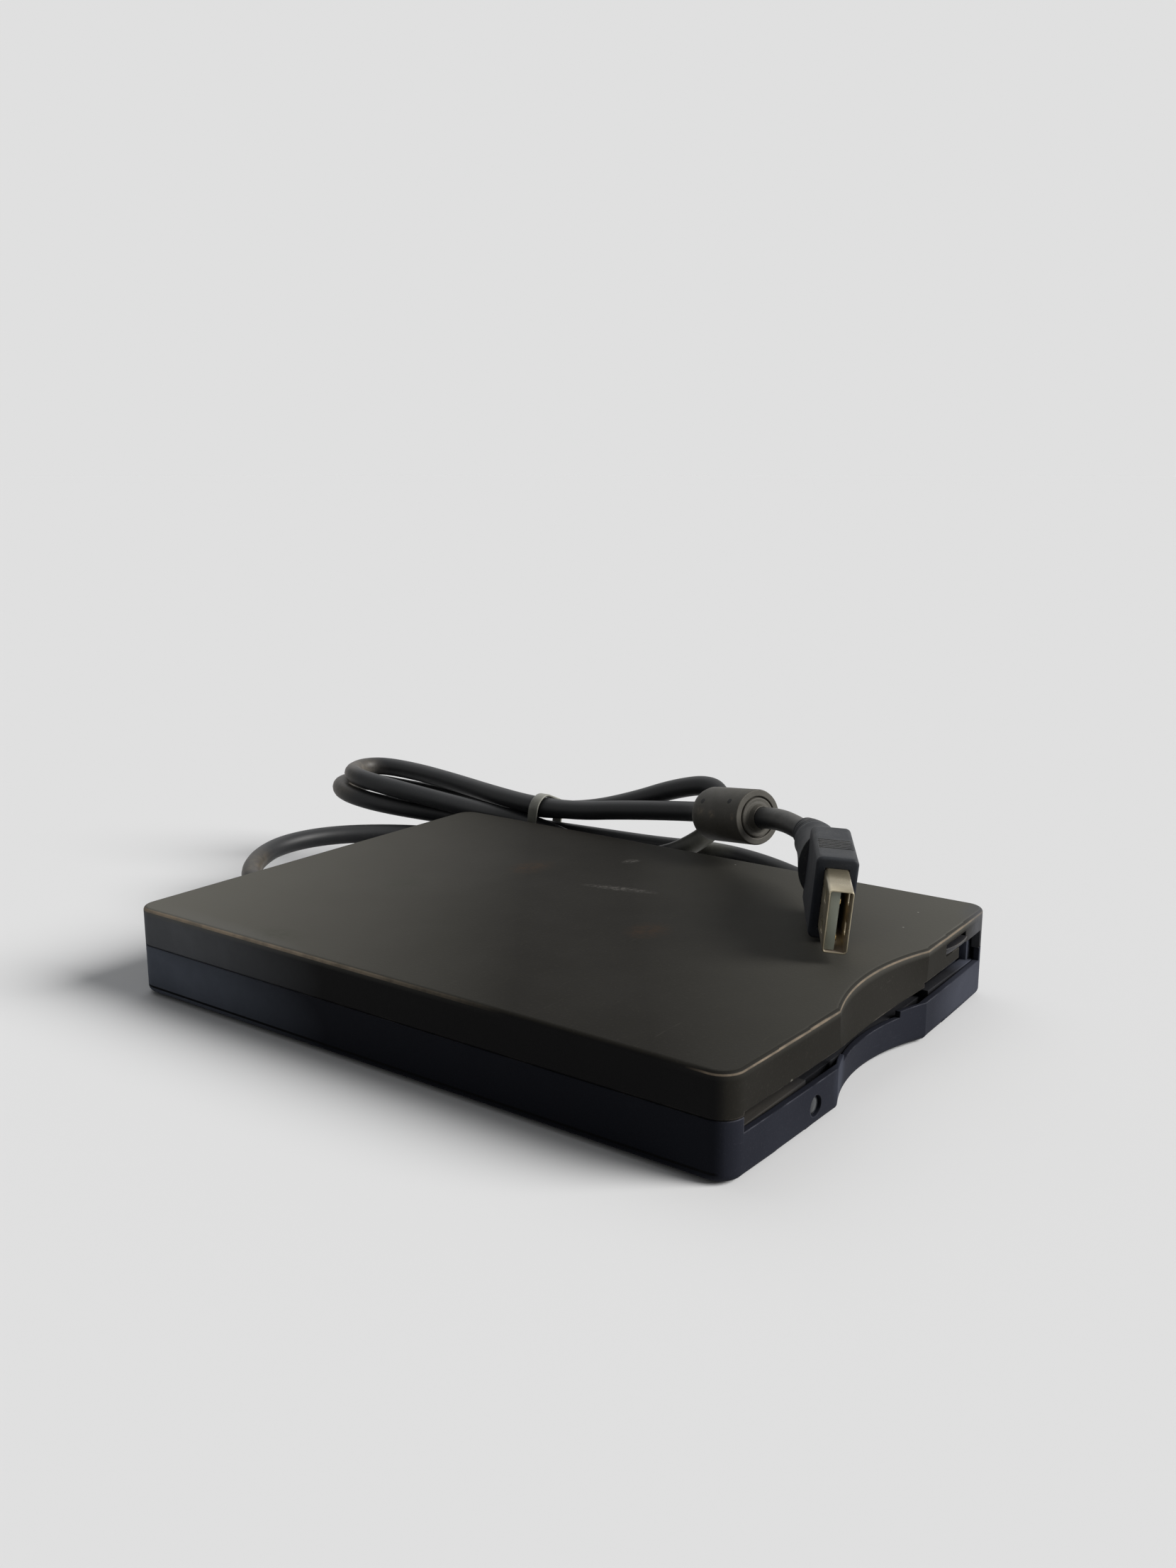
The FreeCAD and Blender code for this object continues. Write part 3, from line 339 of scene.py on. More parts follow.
# Rolled: the fine lines that rollers, a lathe or a grinder leave in metal, and its spangle.
rolled, given, result = effect(
    "rolled_metal", [("Along", POINT, (1, 40, 40)), ("Line", FLOAT, 0.01), ("Spangle", FLOAT, 0.006)],
    [("Height", FLOAT), ("Tone", FLOAT), ("Crystal", FLOAT)])
place = object_place(rolled)
drawn = add_node(rolled, "ShaderNodeVectorMath", {0: place, 1: given["Along"]}, operation="MULTIPLY")
line_scale = math_node(rolled, "DIVIDE", 1.0, given["Line"])
stripes = noise(rolled, drawn.outputs[0], line_scale, 4.0, 0.6)
crystals = add_node(rolled, "ShaderNodeTexVoronoi",
                    {"Vector": place, "Scale": math_node(rolled, "DIVIDE", 1.0, given["Spangle"])})
crystal = add_node(rolled, "ShaderNodeSeparateColor", {0: crystals.outputs["Color"]}).outputs[0]
rolled.links.new(stripes, result["Height"])
rolled.links.new(ramp(rolled, stripes, 0.3, 0.7), result["Tone"])
rolled.links.new(crystal, result["Crystal"])


def bare_metal(name, dark, light, roughness, along=(1, 40, 40), line=0.01, spangle=0.006,
               contrast=0.25, metallic=1.0, relief=0.004, edge=0.00015):
    """A metal with its working lines and the patchwork of its plating."""
    finish = bpy.data.materials.new(name)
    finish.use_nodes = True
    tree = finish.node_tree
    shader = tree.nodes["Principled BSDF"]
    work = use_effect(tree, rolled, Along=along, Line=line, Spangle=spangle)
    edges = use_effect(tree, rub, Width=edge, Amount=0.2)
    shade = math_node(tree, "MULTIPLY_ADD", work["Crystal"], contrast,
                      math_node(tree, "MULTIPLY", work["Tone"], 1.0 - contrast))
    tree.links.new(mix_colour(tree, shade, dark, light), shader.inputs["Base Color"])
    tree.links.new(math_node(tree, "MULTIPLY_ADD", shade, -0.12, roughness), shader.inputs["Roughness"])
    bump = add_node(tree, "ShaderNodeBump", {"Strength": 1.0, "Distance": relief * MM,
                                             "Height": work["Height"], "Normal": edges["Soft"]})
    tree.links.new(bump.outputs[0], shader.inputs["Normal"])
    shader.inputs["Metallic"].default_value = metallic
    return finish


dress(bare_metal("blackened_steel", (0.05, 0.05, 0.055), (0.16, 0.16, 0.17), 0.45, spangle=0.0008),
      "case_screws", "mechanism_screws")


# ---- Chassis, top plate, carrier, slider and lever ------------------------------------
# Pressed from zinc-plated sheet. The disk carrier rides on four pins in the slider's slanted
# slots, and the lever, held on its post by a circlip, lets the slider go.
zinc_sheet = bare_metal("zinc_sheet", (0.36, 0.37, 0.37), (0.62, 0.63, 0.61), 0.42, contrast=0.5)
dress(zinc_sheet, "drive_chassis", "drive_top_plate", "disk_carrier", "eject_slider", "eject_lever")
ground_steel = bare_metal("ground_steel", (0.50, 0.50, 0.50), (0.72, 0.72, 0.71), 0.28,
                          along=(40, 1, 40), line=0.004, spangle=0.02, contrast=0.1)
dress(ground_steel, "lever_circlip")


# ---- Spindle motor ----------------------------------------------------------------------
# A flat brushless motor: the coils stand on the motor board round the bearing, and the rotor
# cap with its ring magnet, hub and drive pin turns over them on a ground shaft.
turned_zinc = bare_metal("turned_zinc", (0.42, 0.42, 0.42), (0.64, 0.64, 0.62), 0.34,
                         along=(6, 6, 1), line=0.02, spangle=0.004, contrast=0.3)
dress(turned_zinc, "spindle_rotor", "spindle_hub")
dress(ground_steel, "spindle_shaft", "drive_pin")
dress(bare_metal("sintered_bronze", (0.33, 0.21, 0.10), (0.55, 0.37, 0.19), 0.5, along=(1, 1, 1),
                 line=0.0004, spangle=0.0006, contrast=0.5), "spindle_bearing", "screw_bearing")
dress(bare_metal("laminated_iron", (0.07, 0.07, 0.075), (0.19, 0.19, 0.20), 0.55, along=(1, 1, 30),
                 line=0.003, spangle=0.0012), "stator_core", "rotor_magnet", "ferrite_core")
dress(bare_metal("enamelled_wire", (0.36, 0.13, 0.05), (0.72, 0.33, 0.15), 0.3, along=(1, 1, 40),
                 line=0.006, spangle=0.0006, contrast=0.35, relief=0.05), "stator_coils")

# Tracks: copper runs under solder mask, with the small rings of through holes.
tracks, given, result = effect(
    "etched_tracks", [("Pitch", FLOAT, 0.0012)], [("Track", FLOAT), ("Hole", FLOAT)])
place = object_place(tracks)
step = math_node(tracks, "DIVIDE", 1.0, given["Pitch"])
runs = add_node(tracks, "ShaderNodeTexBrick",
                {"Vector": place, "Scale": step, "Mortar Size": 0.09, "Mortar Smooth": 0.3,
                 "Brick Width": 3.7, "Row Height": 0.55}, offset=0.37, squash=1.6, squash_frequency=3)
open_area = ramp(tracks, noise(tracks, place, math_node(tracks, "MULTIPLY", step, 0.16), 1.0), 0.46, 0.5)
dots = add_node(tracks, "ShaderNodeTexVoronoi",
                {"Vector": place, "Scale": math_node(tracks, "MULTIPLY", step, 0.4), "Randomness": 0.7})
tracks.links.new(math_node(tracks, "MULTIPLY", runs.outputs["Fac"], open_area), result["Track"])
tracks.links.new(ramp(tracks, dots.outputs["Distance"], 0.13, 0.10), result["Hole"])

solder_mask = bpy.data.materials.new("green_solder_mask")
solder_mask.use_nodes = True
tree = solder_mask.node_tree
shader = tree.nodes["Principled BSDF"]
copper = use_effect(tree, tracks, Pitch=0.0012)
colour = mix_colour(tree, copper["Track"], (0.012, 0.075, 0.033), (0.035, 0.17, 0.075))
tree.links.new(mix_colour(tree, copper["Hole"], colour, (0.55, 0.53, 0.45)), shader.inputs["Base Color"])
tree.links.new(ramp(tree, copper["Hole"], 0, 1, 0.0, 0.9), shader.inputs["Metallic"])
tree.links.new(ramp(tree, copper["Track"], 0, 1, 0.30, 0.22), shader.inputs["Roughness"])
raised = math_node(tree, "ADD", copper["Track"], copper["Hole"])
bump = add_node(tree, "ShaderNodeBump", {"Strength": 1.0, "Distance": 0.03 * MM, "Height": raised})
tree.links.new(bump.outputs[0], shader.inputs["Normal"])
dress(solder_mask, "motor_board")


# ---- Head carriage and its drive ----------------------------------------------------------
# Glass-filled resin carriage with ceramic heads, on a ground rail. The stepper motor turns
# the lead screw, whose thread moves the carriage.
carriage_resin = moulded_plastic("carriage_resin", (0.020, 0.020, 0.022), (0.032, 0.032, 0.035),
                                 (0.12, 0.12, 0.12), roughness=0.5, gloss=0.4, pitch=0.0006,
                                 relief=0.03, fleck=0.3, edge=0.0002)
dress(carriage_resin, "head_carriage", "head_arm", "rail_clamps")
head_ceramic = moulded_plastic("head_ceramic", (0.34, 0.31, 0.24), (0.46, 0.43, 0.36),
                               (0.62, 0.60, 0.55), roughness=0.18, gloss=0.6, relief=0.003,
                               pitch=0.0003, edge=0.0002)
dress(head_ceramic, "lower_head", "upper_head")
dress(ground_steel, "arm_pin", "guide_rail")
dress(zinc_sheet, "stepper_bracket")
can_metal = bare_metal("drawn_can", (0.48, 0.48, 0.47), (0.70, 0.70, 0.68), 0.33, along=(1, 8, 8),
                       line=0.006, spangle=0.01, contrast=0.15)
dress(can_metal, "stepper_motor")

SCREW_X, SCREW_Z, THREAD_PITCH, THREAD_DEPTH = 19.0, 7.9, 3.0, 0.25
screw_steel = bare_metal("threaded_steel", (0.44, 0.44, 0.44), (0.68, 0.68, 0.67), 0.3,
                         along=(40, 1, 40), line=0.004, spangle=0.02, contrast=0.1)
tree = screw_steel.node_tree
shader = tree.nodes["Principled BSDF"]
place = add_node(tree, "ShaderNodeSeparateXYZ", {0: object_place(tree)}).outputs
sideways = math_node(tree, "SUBTRACT", place["X"], SCREW_X * MM)
upwards = math_node(tree, "SUBTRACT", place["Z"], SCREW_Z * MM)
angle = math_node(tree, "ARCTAN2", sideways, upwards)
advance = math_node(tree, "MULTIPLY", place["Y"], 2 * math.pi / (THREAD_PITCH * MM))
turns = math_node(tree, "SINE", math_node(tree, "ADD", advance, angle))
groove = ramp(tree, turns, -0.2, 0.2)
work_normal = shader.inputs["Normal"].links[0].from_socket
thread = add_node(tree, "ShaderNodeBump", {"Strength": 1.0, "Distance": THREAD_DEPTH * MM,
                                           "Height": groove, "Normal": work_normal})
tree.links.new(thread.outputs[0], shader.inputs["Normal"])
add_mark(screw_steel, ramp(tree, groove, 1.0, 0.0, 0.0, 0.5), (0.10, 0.095, 0.085))
dress(screw_steel, "lead_screw")


# ---- Boards -------------------------------------------------------------------------------
# The control board and the USB board behind it, joined by a folded flat cable. The lead's
# four wires end in a nylon header on the USB board.
dress(solder_mask, "control_board", "usb_board")
dress(can_metal, "clock_crystal", "capacitors")
dress(moulded_plastic("chip_epoxy", (0.014, 0.014, 0.015), (0.020, 0.020, 0.021), (0.09, 0.09, 0.09),
                      roughness=0.55, gloss=0.35, pitch=0.0002, edge=0.00015),
      "control_chip", "usb_chip")
dress(moulded_plastic("natural_nylon", (0.58, 0.56, 0.48), (0.70, 0.68, 0.60), (0.75, 0.73, 0.66),
                      roughness=0.45, gloss=0.4, edge=0.0002), "lead_header")

CONDUCTOR_PITCH = 1.0
cable_film = moulded_plastic("flat_cable_film", (0.50, 0.48, 0.40), (0.60, 0.58, 0.50),
                             (0.70, 0.68, 0.60), roughness=0.35, gloss=0.5, relief=0.005)
tree = cable_film.node_tree
across = add_node(tree, "ShaderNodeSeparateXYZ", {0: object_place(tree)}).outputs["X"]
conductor = math_node(tree, "SINE", math_node(tree, "MULTIPLY", across,
                                              2 * math.pi / (CONDUCTOR_PITCH * MM)))
add_mark(cable_film, ramp(tree, conductor, -0.1, 0.1, 0.0, 0.8), (0.42, 0.24, 0.13))
dress(cable_film, "flat_cable")

# The first wire is red, and the others are laid over it by their place.
WIRE_HALF, WIRE_BLUR = 0.54, 0.04
wire_sleeve = moulded_plastic("wire_sleeves", (0.30, 0.02, 0.02), (0.36, 0.03, 0.025),
                              (0.5, 0.1, 0.1), roughness=0.4, gloss=0.5, relief=0.003)
tree = wire_sleeve.node_tree
across = add_node(tree, "ShaderNodeSeparateXYZ", {0: object_place(tree)}).outputs["X"]
for wire_x, wire_colour in ((-7.1, (0.55, 0.55, 0.53)), (-5.9, (0.02, 0.22, 0.06)),
                            (-4.7, (0.012, 0.012, 0.013))):
    distance = math_node(tree, "ABSOLUTE", math_node(tree, "SUBTRACT", across, wire_x * MM))
    on_wire = ramp(tree, distance, (WIRE_HALF + WIRE_BLUR) * MM, WIRE_HALF * MM)
    add_mark(wire_sleeve, on_wire, wire_colour)
dress(wire_sleeve, "lead_wires")


# ---- Slot bezel and dust door --------------------------------------------------------------
# The bezel behind the slot guides the disk: a low sill, a ledge at either end and two ears
# that carry the dust door's pins. Both are moulded, the bezel greyer than the case.
def form_of(*nodes):
    """A merged copy of frame pieces' own form, ready to be worked on."""
    form = bmesh.new()
    for node in nodes:
        form.from_mesh(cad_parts[node].data)
    bmesh.ops.remove_doubles(form, verts=form.verts, dist=0.002 * MM)
    bmesh.ops.dissolve_limit(form, angle_limit=math.radians(2), verts=form.verts, edges=form.edges)
    return form


def soften(form, width, steps=3, steeper=35):
    """Rounds the sharp edges of a form, as a mould or a stamping rounds them."""
    sharp = [edge for edge in form.edges if len(edge.link_faces) == 2
             and edge.calc_face_angle(0) > math.radians(steeper)]
    bmesh.ops.bevel(form, geom=sharp, offset=width * MM, segments=steps, profile=0.5,
                    affect="EDGES", material=-1, clamp_overlap=True)


def place_piece(name, form, body, nodes, finish, crease=32):
    """Makes the form a piece that stands for the given frame nodes."""
    bmesh.ops.remove_doubles(form, verts=form.verts, dist=0.001 * MM)
    bmesh.ops.recalc_face_normals(form, faces=form.faces)
    mesh = bpy.data.meshes.new(name)
    form.to_mesh(mesh)
    form.free()
    mesh.shade_smooth()
    mesh.set_sharp_from_angle(angle=math.radians(crease))
    mesh.materials.append(finish)
    piece = bpy.data.objects.new(name, mesh)
    bpy.context.collection.objects.link(piece)
    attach(piece, body)
    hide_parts(*nodes)
    return piece


bezel_plastic = moulded_plastic("bezel_plastic", (0.0115, 0.0120, 0.0145), (0.017, 0.0175, 0.020),
                                (0.07, 0.07, 0.072), roughness=0.7, edge=0.0002)
# A lighter brownish patch on the left ledge, and painted bluish light on the right end of the slot,
# which lies in shade.
add_smudge(bezel_plastic, (-38, -68, 9), (17, 12, 9), (0.036, 0.033, 0.029), 0.9, gaps=0.2, strand=5)
add_smudge(bezel_plastic, (47, -66, 11), (10, 12, 9), (0.060, 0.066, 0.088), 0.95, gaps=0.2, strand=5)
bezel = form_of("slot_bezel")
soften(bezel, 0.15, 2)
place_piece("moulded_bezel", bezel, "root", ["slot_bezel"], bezel_plastic)
door_plastic = moulded_plastic("door_plastic", (0.006, 0.006, 0.008), (0.010, 0.010, 0.012),
                               (0.03, 0.03, 0.03), roughness=0.8, edge=0.0002)
# Painted bluish light on the door's right end, which lies in shade.
add_smudge(door_plastic, (44, -66, 11.5), (9, 5, 6), (0.050, 0.056, 0.076), 0.9, gaps=0.1)
dress(door_plastic, "slot_door")


# ---- Eject button ----------------------------------------------------------------------------
# A moulded key pressed onto the eject slider's tab. Its front swells to a finger lip that
# years of thumbs have polished, with a recess above it.
button_plastic = moulded_plastic("button_plastic", (0.0085, 0.0085, 0.0100), (0.013, 0.013, 0.015),
                                 (0.11, 0.098, 0.085), roughness=0.5, gloss=0.2, edge=0.0003, wear=0.55)
button = form_of("eject_button")
soften(button, 0.22, 3)
place_piece("finger_key", button, "eject", ["eject_button"], button_plastic)


# ---- Status light ------------------------------------------------------------------------------
# A smoked acrylic light pipe with a slightly domed face, pressed through the bottom cover,
# with the LED behind it.
LENS_X, LENS_Z, LENS_RADIUS = -25.2, 4.1, 1.8
lens_low, lens_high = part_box("indicator_lens")
lens_front, lens_back = lens_low[1] / MM, lens_high[1] / MM
lens = bmesh.new()
lens_profile = [(0, lens_front - 0.18), (0.9, lens_front - 0.1), (1.5, lens_front + 0.1),
                (LENS_RADIUS, lens_front + 0.4), (LENS_RADIUS, lens_back), (0, lens_back)]
steps = [lens.verts.new(((LENS_X + radius) * MM, y * MM, LENS_Z * MM)) for radius, y in lens_profile]
rims = [lens.edges.new(pair) for pair in zip(steps, steps[1:])]
bmesh.ops.spin(lens, geom=steps + rims, cent=Vector((LENS_X, 0, LENS_Z)) * MM, axis=(0, 1, 0),
               angle=2 * math.pi, steps=48, use_merge=True)
lens_acrylic = moulded_plastic("smoked_acrylic", (0.020, 0.022, 0.025), (0.028, 0.030, 0.033),
                               (0.14, 0.14, 0.14), roughness=0.28, gloss=0.5, relief=0.004,
                               edge=0.0002)
# A painted highlight on the left of the lens's rim.
add_smudge(lens_acrylic, (-27.0, -70.6, 4.3), (0.28, 0.8, 0.28), (0.30, 0.30, 0.29), 0.8, gaps=0.0)
place_piece("lens_window", lens, "root", ["indicator_lens"], lens_acrylic)
dress(moulded_plastic("led_resin", (0.45, 0.50, 0.42), (0.55, 0.60, 0.50), (0.7, 0.72, 0.66),
                      roughness=0.15, gloss=0.5, relief=0.001, edge=0.0002), "indicator_led")


# ---- Top cover ---------------------------------------------------------------------------------
# The upper half of the case, in black ABS gone brownish with age, with a painted sheen
# lightening it towards its rear left and front right corners. Its front top edge and the rear
# of its left edge have been rubbed down to a tan line, which carries a painted highlight too.
TOP_Z = 18.6
SHEEN_WAY = (0.60, -0.80)
top_plastic = moulded_plastic("top_cover_plastic", (0.0102, 0.0094, 0.0076), (0.0144, 0.0134, 0.0112),
                              (0.10, 0.090, 0.076), roughness=0.66, gloss=0.05, wear=0.25,
                              pitch=0.0005, cloud=0.045, scuffs=0.15, fleck=0.06)
# Painted shade on the flanks, and painted light at the rear of the left flank.
paint_flank_shade(top_plastic, (0.0036, 0.0037, 0.0044))
add_smudge(top_plastic, (LEFT_WALL_X, 74, 14), (6, 58, 16), (0.090, 0.094, 0.102), 0.9, gaps=0.1,
           strand=9)
tree = top_plastic.node_tree
place = add_node(tree, "ShaderNodeSeparateXYZ", {0: object_place(tree)}).outputs
across_top = math_node(tree, "ADD", math_node(tree, "MULTIPLY", place["X"], SHEEN_WAY[0]),
                       math_node(tree, "MULTIPLY", place["Y"], SHEEN_WAY[1]))
on_top = ramp(tree, place["Z"], 17.0 * MM, 18.4 * MM)
# The painted sheen grows from these distances along the way given above, in millimetres from the top's
# middle.
rear_painted_sheen = math_node(tree, "MULTIPLY", ramp(tree, across_top, -8 * MM, -84 * MM), on_top)
front_painted_sheen = math_node(tree, "MULTIPLY", ramp(tree, across_top, 14 * MM, 84 * MM), on_top)
add_mark(top_plastic, rear_painted_sheen, (0.100, 0.097, 0.085))
add_mark(top_plastic, front_painted_sheen, (0.085, 0.083, 0.073))
front_reach = ramp(tree, place["Y"], -62 * MM, -66 * MM)
left_reach = math_node(tree, "MULTIPLY", ramp(tree, place["X"], -49.5 * MM, -50.5 * MM),
                       ramp(tree, place["Y"], -26 * MM, 38 * MM))
chatter = ramp(tree, noise(tree, object_place(tree), 300.0, 4.0, 0.6), 0.34, 0.60, 0.5, 1.0)


def rim_band(low, high, blur):
    """A band along the rounded top edge, between two heights in millimetres."""
    return math_node(tree, "MULTIPLY", ramp(tree, place["Z"], (low - blur) * MM, low * MM),
                     ramp(tree, place["Z"], (high + blur) * MM, high * MM))


# A band of painted shade along the front edge's rounding, above the tan line.
shaded = math_node(tree, "MULTIPLY", rim_band(18.30, 18.56, 0.05), front_reach)
add_mark(top_plastic, math_node(tree, "MULTIPLY", shaded, 0.7), (0.0075, 0.0070, 0.0062))
# The tan line is rubbed wear with a painted highlight. The left lip is rubbed wear, lightened further by
# painted light because the left flank lies in shade.
tan_wear_and_highlight = math_node(tree, "MULTIPLY", rim_band(17.98, 18.16, 0.12), front_reach)
add_mark(top_plastic, math_node(tree, "MULTIPLY", tan_wear_and_highlight, chatter), (0.165, 0.132, 0.098))
lip = math_node(tree, "MULTIPLY", rim_band(18.00, 18.46, 0.10), left_reach)
add_mark(top_plastic, math_node(tree, "MULTIPLY", lip, chatter), (0.280, 0.228, 0.168))

# Two pale scratches, two brown and two greenish stains, three specks, a chip on the front wall
# and a lighter patch at its right end.
add_smudge(top_plastic, (16.7, -2.5, TOP_Z), (1.7, 9.5, 3), (0.090, 0.085, 0.078), 0.8, turn=-14,
           gaps=0.9, strand=1.2)
add_smudge(top_plastic, (35.9, 7.9, TOP_Z), (2.7, 1.8, 3), (0.090, 0.085, 0.078), 0.8, turn=20,
           gaps=0.9, strand=1.0)
add_smudge(top_plastic, (-2.9, -22.8, TOP_Z), (6, 5, 3), (0.050, 0.026, 0.012), 0.35, gaps=0.7)
add_smudge(top_plastic, (18.7, 23.4, TOP_Z), (7, 5, 3), (0.050, 0.026, 0.012), 0.30, gaps=0.7)
add_smudge(top_plastic, (-7.7, 37.6, TOP_Z), (6, 6, 3), (0.024, 0.030, 0.019), 0.25, gaps=0.7)
add_smudge(top_plastic, (-46.4, 33.2, TOP_Z), (4, 7, 3), (0.030, 0.036, 0.024), 0.25, gaps=0.7)
for speck_x, speck_y in ((47.4, -12.7), (38.6, -60.3), (28.0, -61.8)):
    add_smudge(top_plastic, (speck_x, speck_y, TOP_Z), (0.24, 0.24, 3), (0.30, 0.30, 0.27), 0.8,
               gaps=0.0)
add_smudge(top_plastic, (-33.5, -70.7, 11.5), (0.5, 2, 0.35), (0.15, 0.145, 0.125), 0.7, gaps=0.2)
add_smudge(top_plastic, (50, -70, 15), (13, 5, 9), (0.072, 0.074, 0.081), 0.75, gaps=0.2)
dress(top_plastic, "top_cover")


# ---- Lead --------------------------------------------------------------------------------------
# A round screened USB lead in a soft black PVC jacket. It runs out of the rear boot, is laid
# in a loose hank beside the case, and passes through the ferrite to the plug.
LEAD_RADIUS = 2.4 * MM
LEAD_EXIT = (-6.5, 80, 9.5)
LEAD_ROUTE = [
    LEAD_EXIT, (-6.5, 86, 9.5), (-3.3, 93, 10), (4.2, 99, 11.2), (15.2, 102.8, 12),
    (29, 99.8, 12.2), (42.5, 89, 11.6), (52, 75, 10.6), (59.4, 53.5, 9.4), (63, 37, 6),
    (72, 22, 3), (80.5, 6, 2.45), (84.5, -11, 2.5), (80.5, -21.5, 4.6), (72.5, -27.5, 7.6),
    (66, -23, 11.2), (63.8, -11, 14.8), (63.8, 3, 15.7), (63.4, 17, 14.6), (63, 35, 14.2),
    (62.6, 53.5, 13.8), (59.6, 65.8, 14.4), (52.9, 78.5, 15.8), (46, 90.1, 17.7),
    (42.3, 98.5, 19.2), (42, 106.8, 20.4), (45.9, 112.3, 21), (51.7, 114, 20.8),
    (56.5, 110.4, 20.2), (59.2, 98, 19.2), (61.3, 83.3, 18.6), (62.4, 68.7, 18.8),
    (62.4, 53.5, 19.1), (62.8, 39, 21), (63.6, 26, 25), (65, 15, 29.4), (66.4, 5, 31.6),
    (64.6, 0.6, 27.9), (62.6, 1.2, 22.6), (59.6, 5, 18.6), (57.6, 11.5, 14.8),
    (56.8, 21, 12.4), (56.8, 32, 12.2), (57.3, 43, 14), (57.8, 53.5, 16),
    (55.1, 67.3, 17.8), (49.4, 79.4, 20.6), (44.6, 91.3, 23.2), (42.9, 102.8, 24.9),
    (46.8, 108.5, 25), (53.2, 110.1, 25.2), (58.2, 106.6, 25), (59.3, 94.8, 24.4),
    (59, 81.4, 23.3), (58.4, 67.8, 22), (57.6, 53.5, 21.1), (57.2, 39, 21.8),
    (57.2, 25, 24.1), (58.535, 6.68, 26.13), (55.7, -0.7, 27.3)]
TAIL_ROUTE = [(49.4, -17.1, 29.9), (46.88, -23.66, 30.94), (44.5, -28.6, 30.9), (41.3, -33.8, 30.4)]


def route_curve(name, points):
    """A smooth NURBS line with the route's points as its control points."""
    curve = bpy.data.curves.new(name, "CURVE")
    curve.dimensions = "3D"
    spline = curve.splines.new("NURBS")
    spline.points.add(len(points) - 1)
    for control, place in zip(spline.points, points):
        control.co = (*(Vector(place) * MM), 1)
    spline.order_u = 3
    spline.use_endpoint_u = True
    spline.resolution_u = 12
    return curve


lead_pvc = moulded_plastic("lead_jacket_pvc", (0.0125, 0.0135, 0.0150), (0.021, 0.0215, 0.0225),
                           (0.085, 0.078, 0.068), roughness=0.5, gloss=0.25, cloud=0.02, relief=0.01,
                           wear=0.0, scuffs=0.35, fleck=0.1, edge=0.0001)
# Lighter patches on the lead's bends and folds: dust and wear on the jacket, with a painted highlight in
# them.
add_smudge(lead_pvc, (-2, 95, 10), (12, 12, 12), (0.085, 0.072, 0.055), 0.75, gaps=0.5)
add_smudge(lead_pvc, (46, 110, 23), (13, 11, 9), (0.140, 0.125, 0.105), 0.85, gaps=0.4)
add_smudge(lead_pvc, (60, 4, 18.5), (9, 9, 7), (0.120, 0.120, 0.104), 0.9, gaps=0.2)
add_smudge(lead_pvc, (45, -27, 33), (12, 12, 3.5), (0.085, 0.082, 0.075), 0.85, gaps=0.3)
lead_curve = route_curve("lead", LEAD_ROUTE + TAIL_ROUTE)
lead_curve.bevel_depth = LEAD_RADIUS
lead_curve.bevel_resolution = 6
lead_curve.use_fill_caps = True
lead_curve.materials.append(lead_pvc)
lead = bpy.data.objects.new("lead", lead_curve)
bpy.context.collection.objects.link(lead)
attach(lead, "root")
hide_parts("cord_lead", "cord_tail")


# ---- Boot and tie -------------------------------------------------------------------------------
# The boot is moulded round the lead where it leaves the case, slotted so that it bends. The
# tie is a band of soft grey plastic pulled round the hank, and it leans with the strands.
plug_rubber = moulded_plastic("plug_rubber", (0.022, 0.024, 0.028), (0.038, 0.040, 0.043),
                              (0.15, 0.148, 0.140), roughness=0.62, gloss=0.2, cloud=0.006,
                              pitch=0.0005, relief=0.03, edge=0.0003, wear=0.45, scuffs=0.5, fleck=0.2)
boot = form_of("cable_gland")
soften(boot, 0.15, 2)
boot_piece = place_piece("lead_boot", boot, "root", ["cable_gland"], plug_rubber)

tie_film = moulded_plastic("tie_film", (0.19, 0.19, 0.165), (0.25, 0.25, 0.22), (0.34, 0.34, 0.31),
                           roughness=0.42, gloss=0.4, cloud=0.003, pitch=0.0008, relief=0.05,
                           edge=0.0002)
TIE_FOOT_Y, TIE_FOOT_Z = 53.5, 8.7
TIE_WIDENING, TIE_LEAN = 0.3, 0.2
tie = form_of("cable_tie")
soften(tie, 0.2, 2)
lean = Matrix.Identity(4)
lean[1][1] = 1 + TIE_WIDENING
lean[1][2] = -TIE_LEAN
lean[1][3] = (TIE_LEAN * TIE_FOOT_Z - TIE_WIDENING * TIE_FOOT_Y) * MM
bmesh.ops.transform(tie, matrix=lean, verts=tie.verts)
tie_piece = place_piece("hank_tie", tie, "root", ["cable_tie"], tie_film)


# ---- Ferrite -------------------------------------------------------------------------------------
# A ferrite core in a dull black moulded sleeve. The sleeve has a rounded rear end, a sunk ring
# round its front hole and small ejector dimples in its side, which are only dark spots of painted shade.
ferrite_back, ferrite_front = Vector(LEAD_ROUTE[-1]) * MM, Vector(TAIL_ROUTE[0]) * MM
ferrite_turn = (ferrite_front - ferrite_back).normalized().to_track_quat("Z", "Y")
to_ferrite = Matrix.Translation(ferrite_back) @ ferrite_turn.to_matrix().to_4x4()
SLEEVE_PROFILE = [
    (2.45, 0.0), (4.3, 0.0), (5.2, 0.3), (5.85, 0.95), (6.2, 2.0), (6.25, 3.2), (6.25, 17.35),
    (6.2, 17.5), (6.05, 17.7), (4.8, 17.7), (4.7, 17.1), (4.5, 17.1), (4.4, 17.7), (4.2, 17.85),
    (3.5, 17.85), (3.0, 18.2), (2.75, 18.8), (2.6, 19.4), (2.45, 19.4), (2.45, 16.4), (5.25, 16.4),
    (5.25, 1.35), (2.45, 1.35), (2.45, 0.0)]
sleeve = bmesh.new()
steps = [sleeve.verts.new((radius * MM, 0, along * MM)) for radius, along in SLEEVE_PROFILE]
rims = [sleeve.edges.new(pair) for pair in zip(steps, steps[1:])]
bmesh.ops.spin(sleeve, geom=steps + rims, cent=(0, 0, 0), axis=(0, 0, 1), angle=2 * math.pi,
               steps=72, use_merge=True)
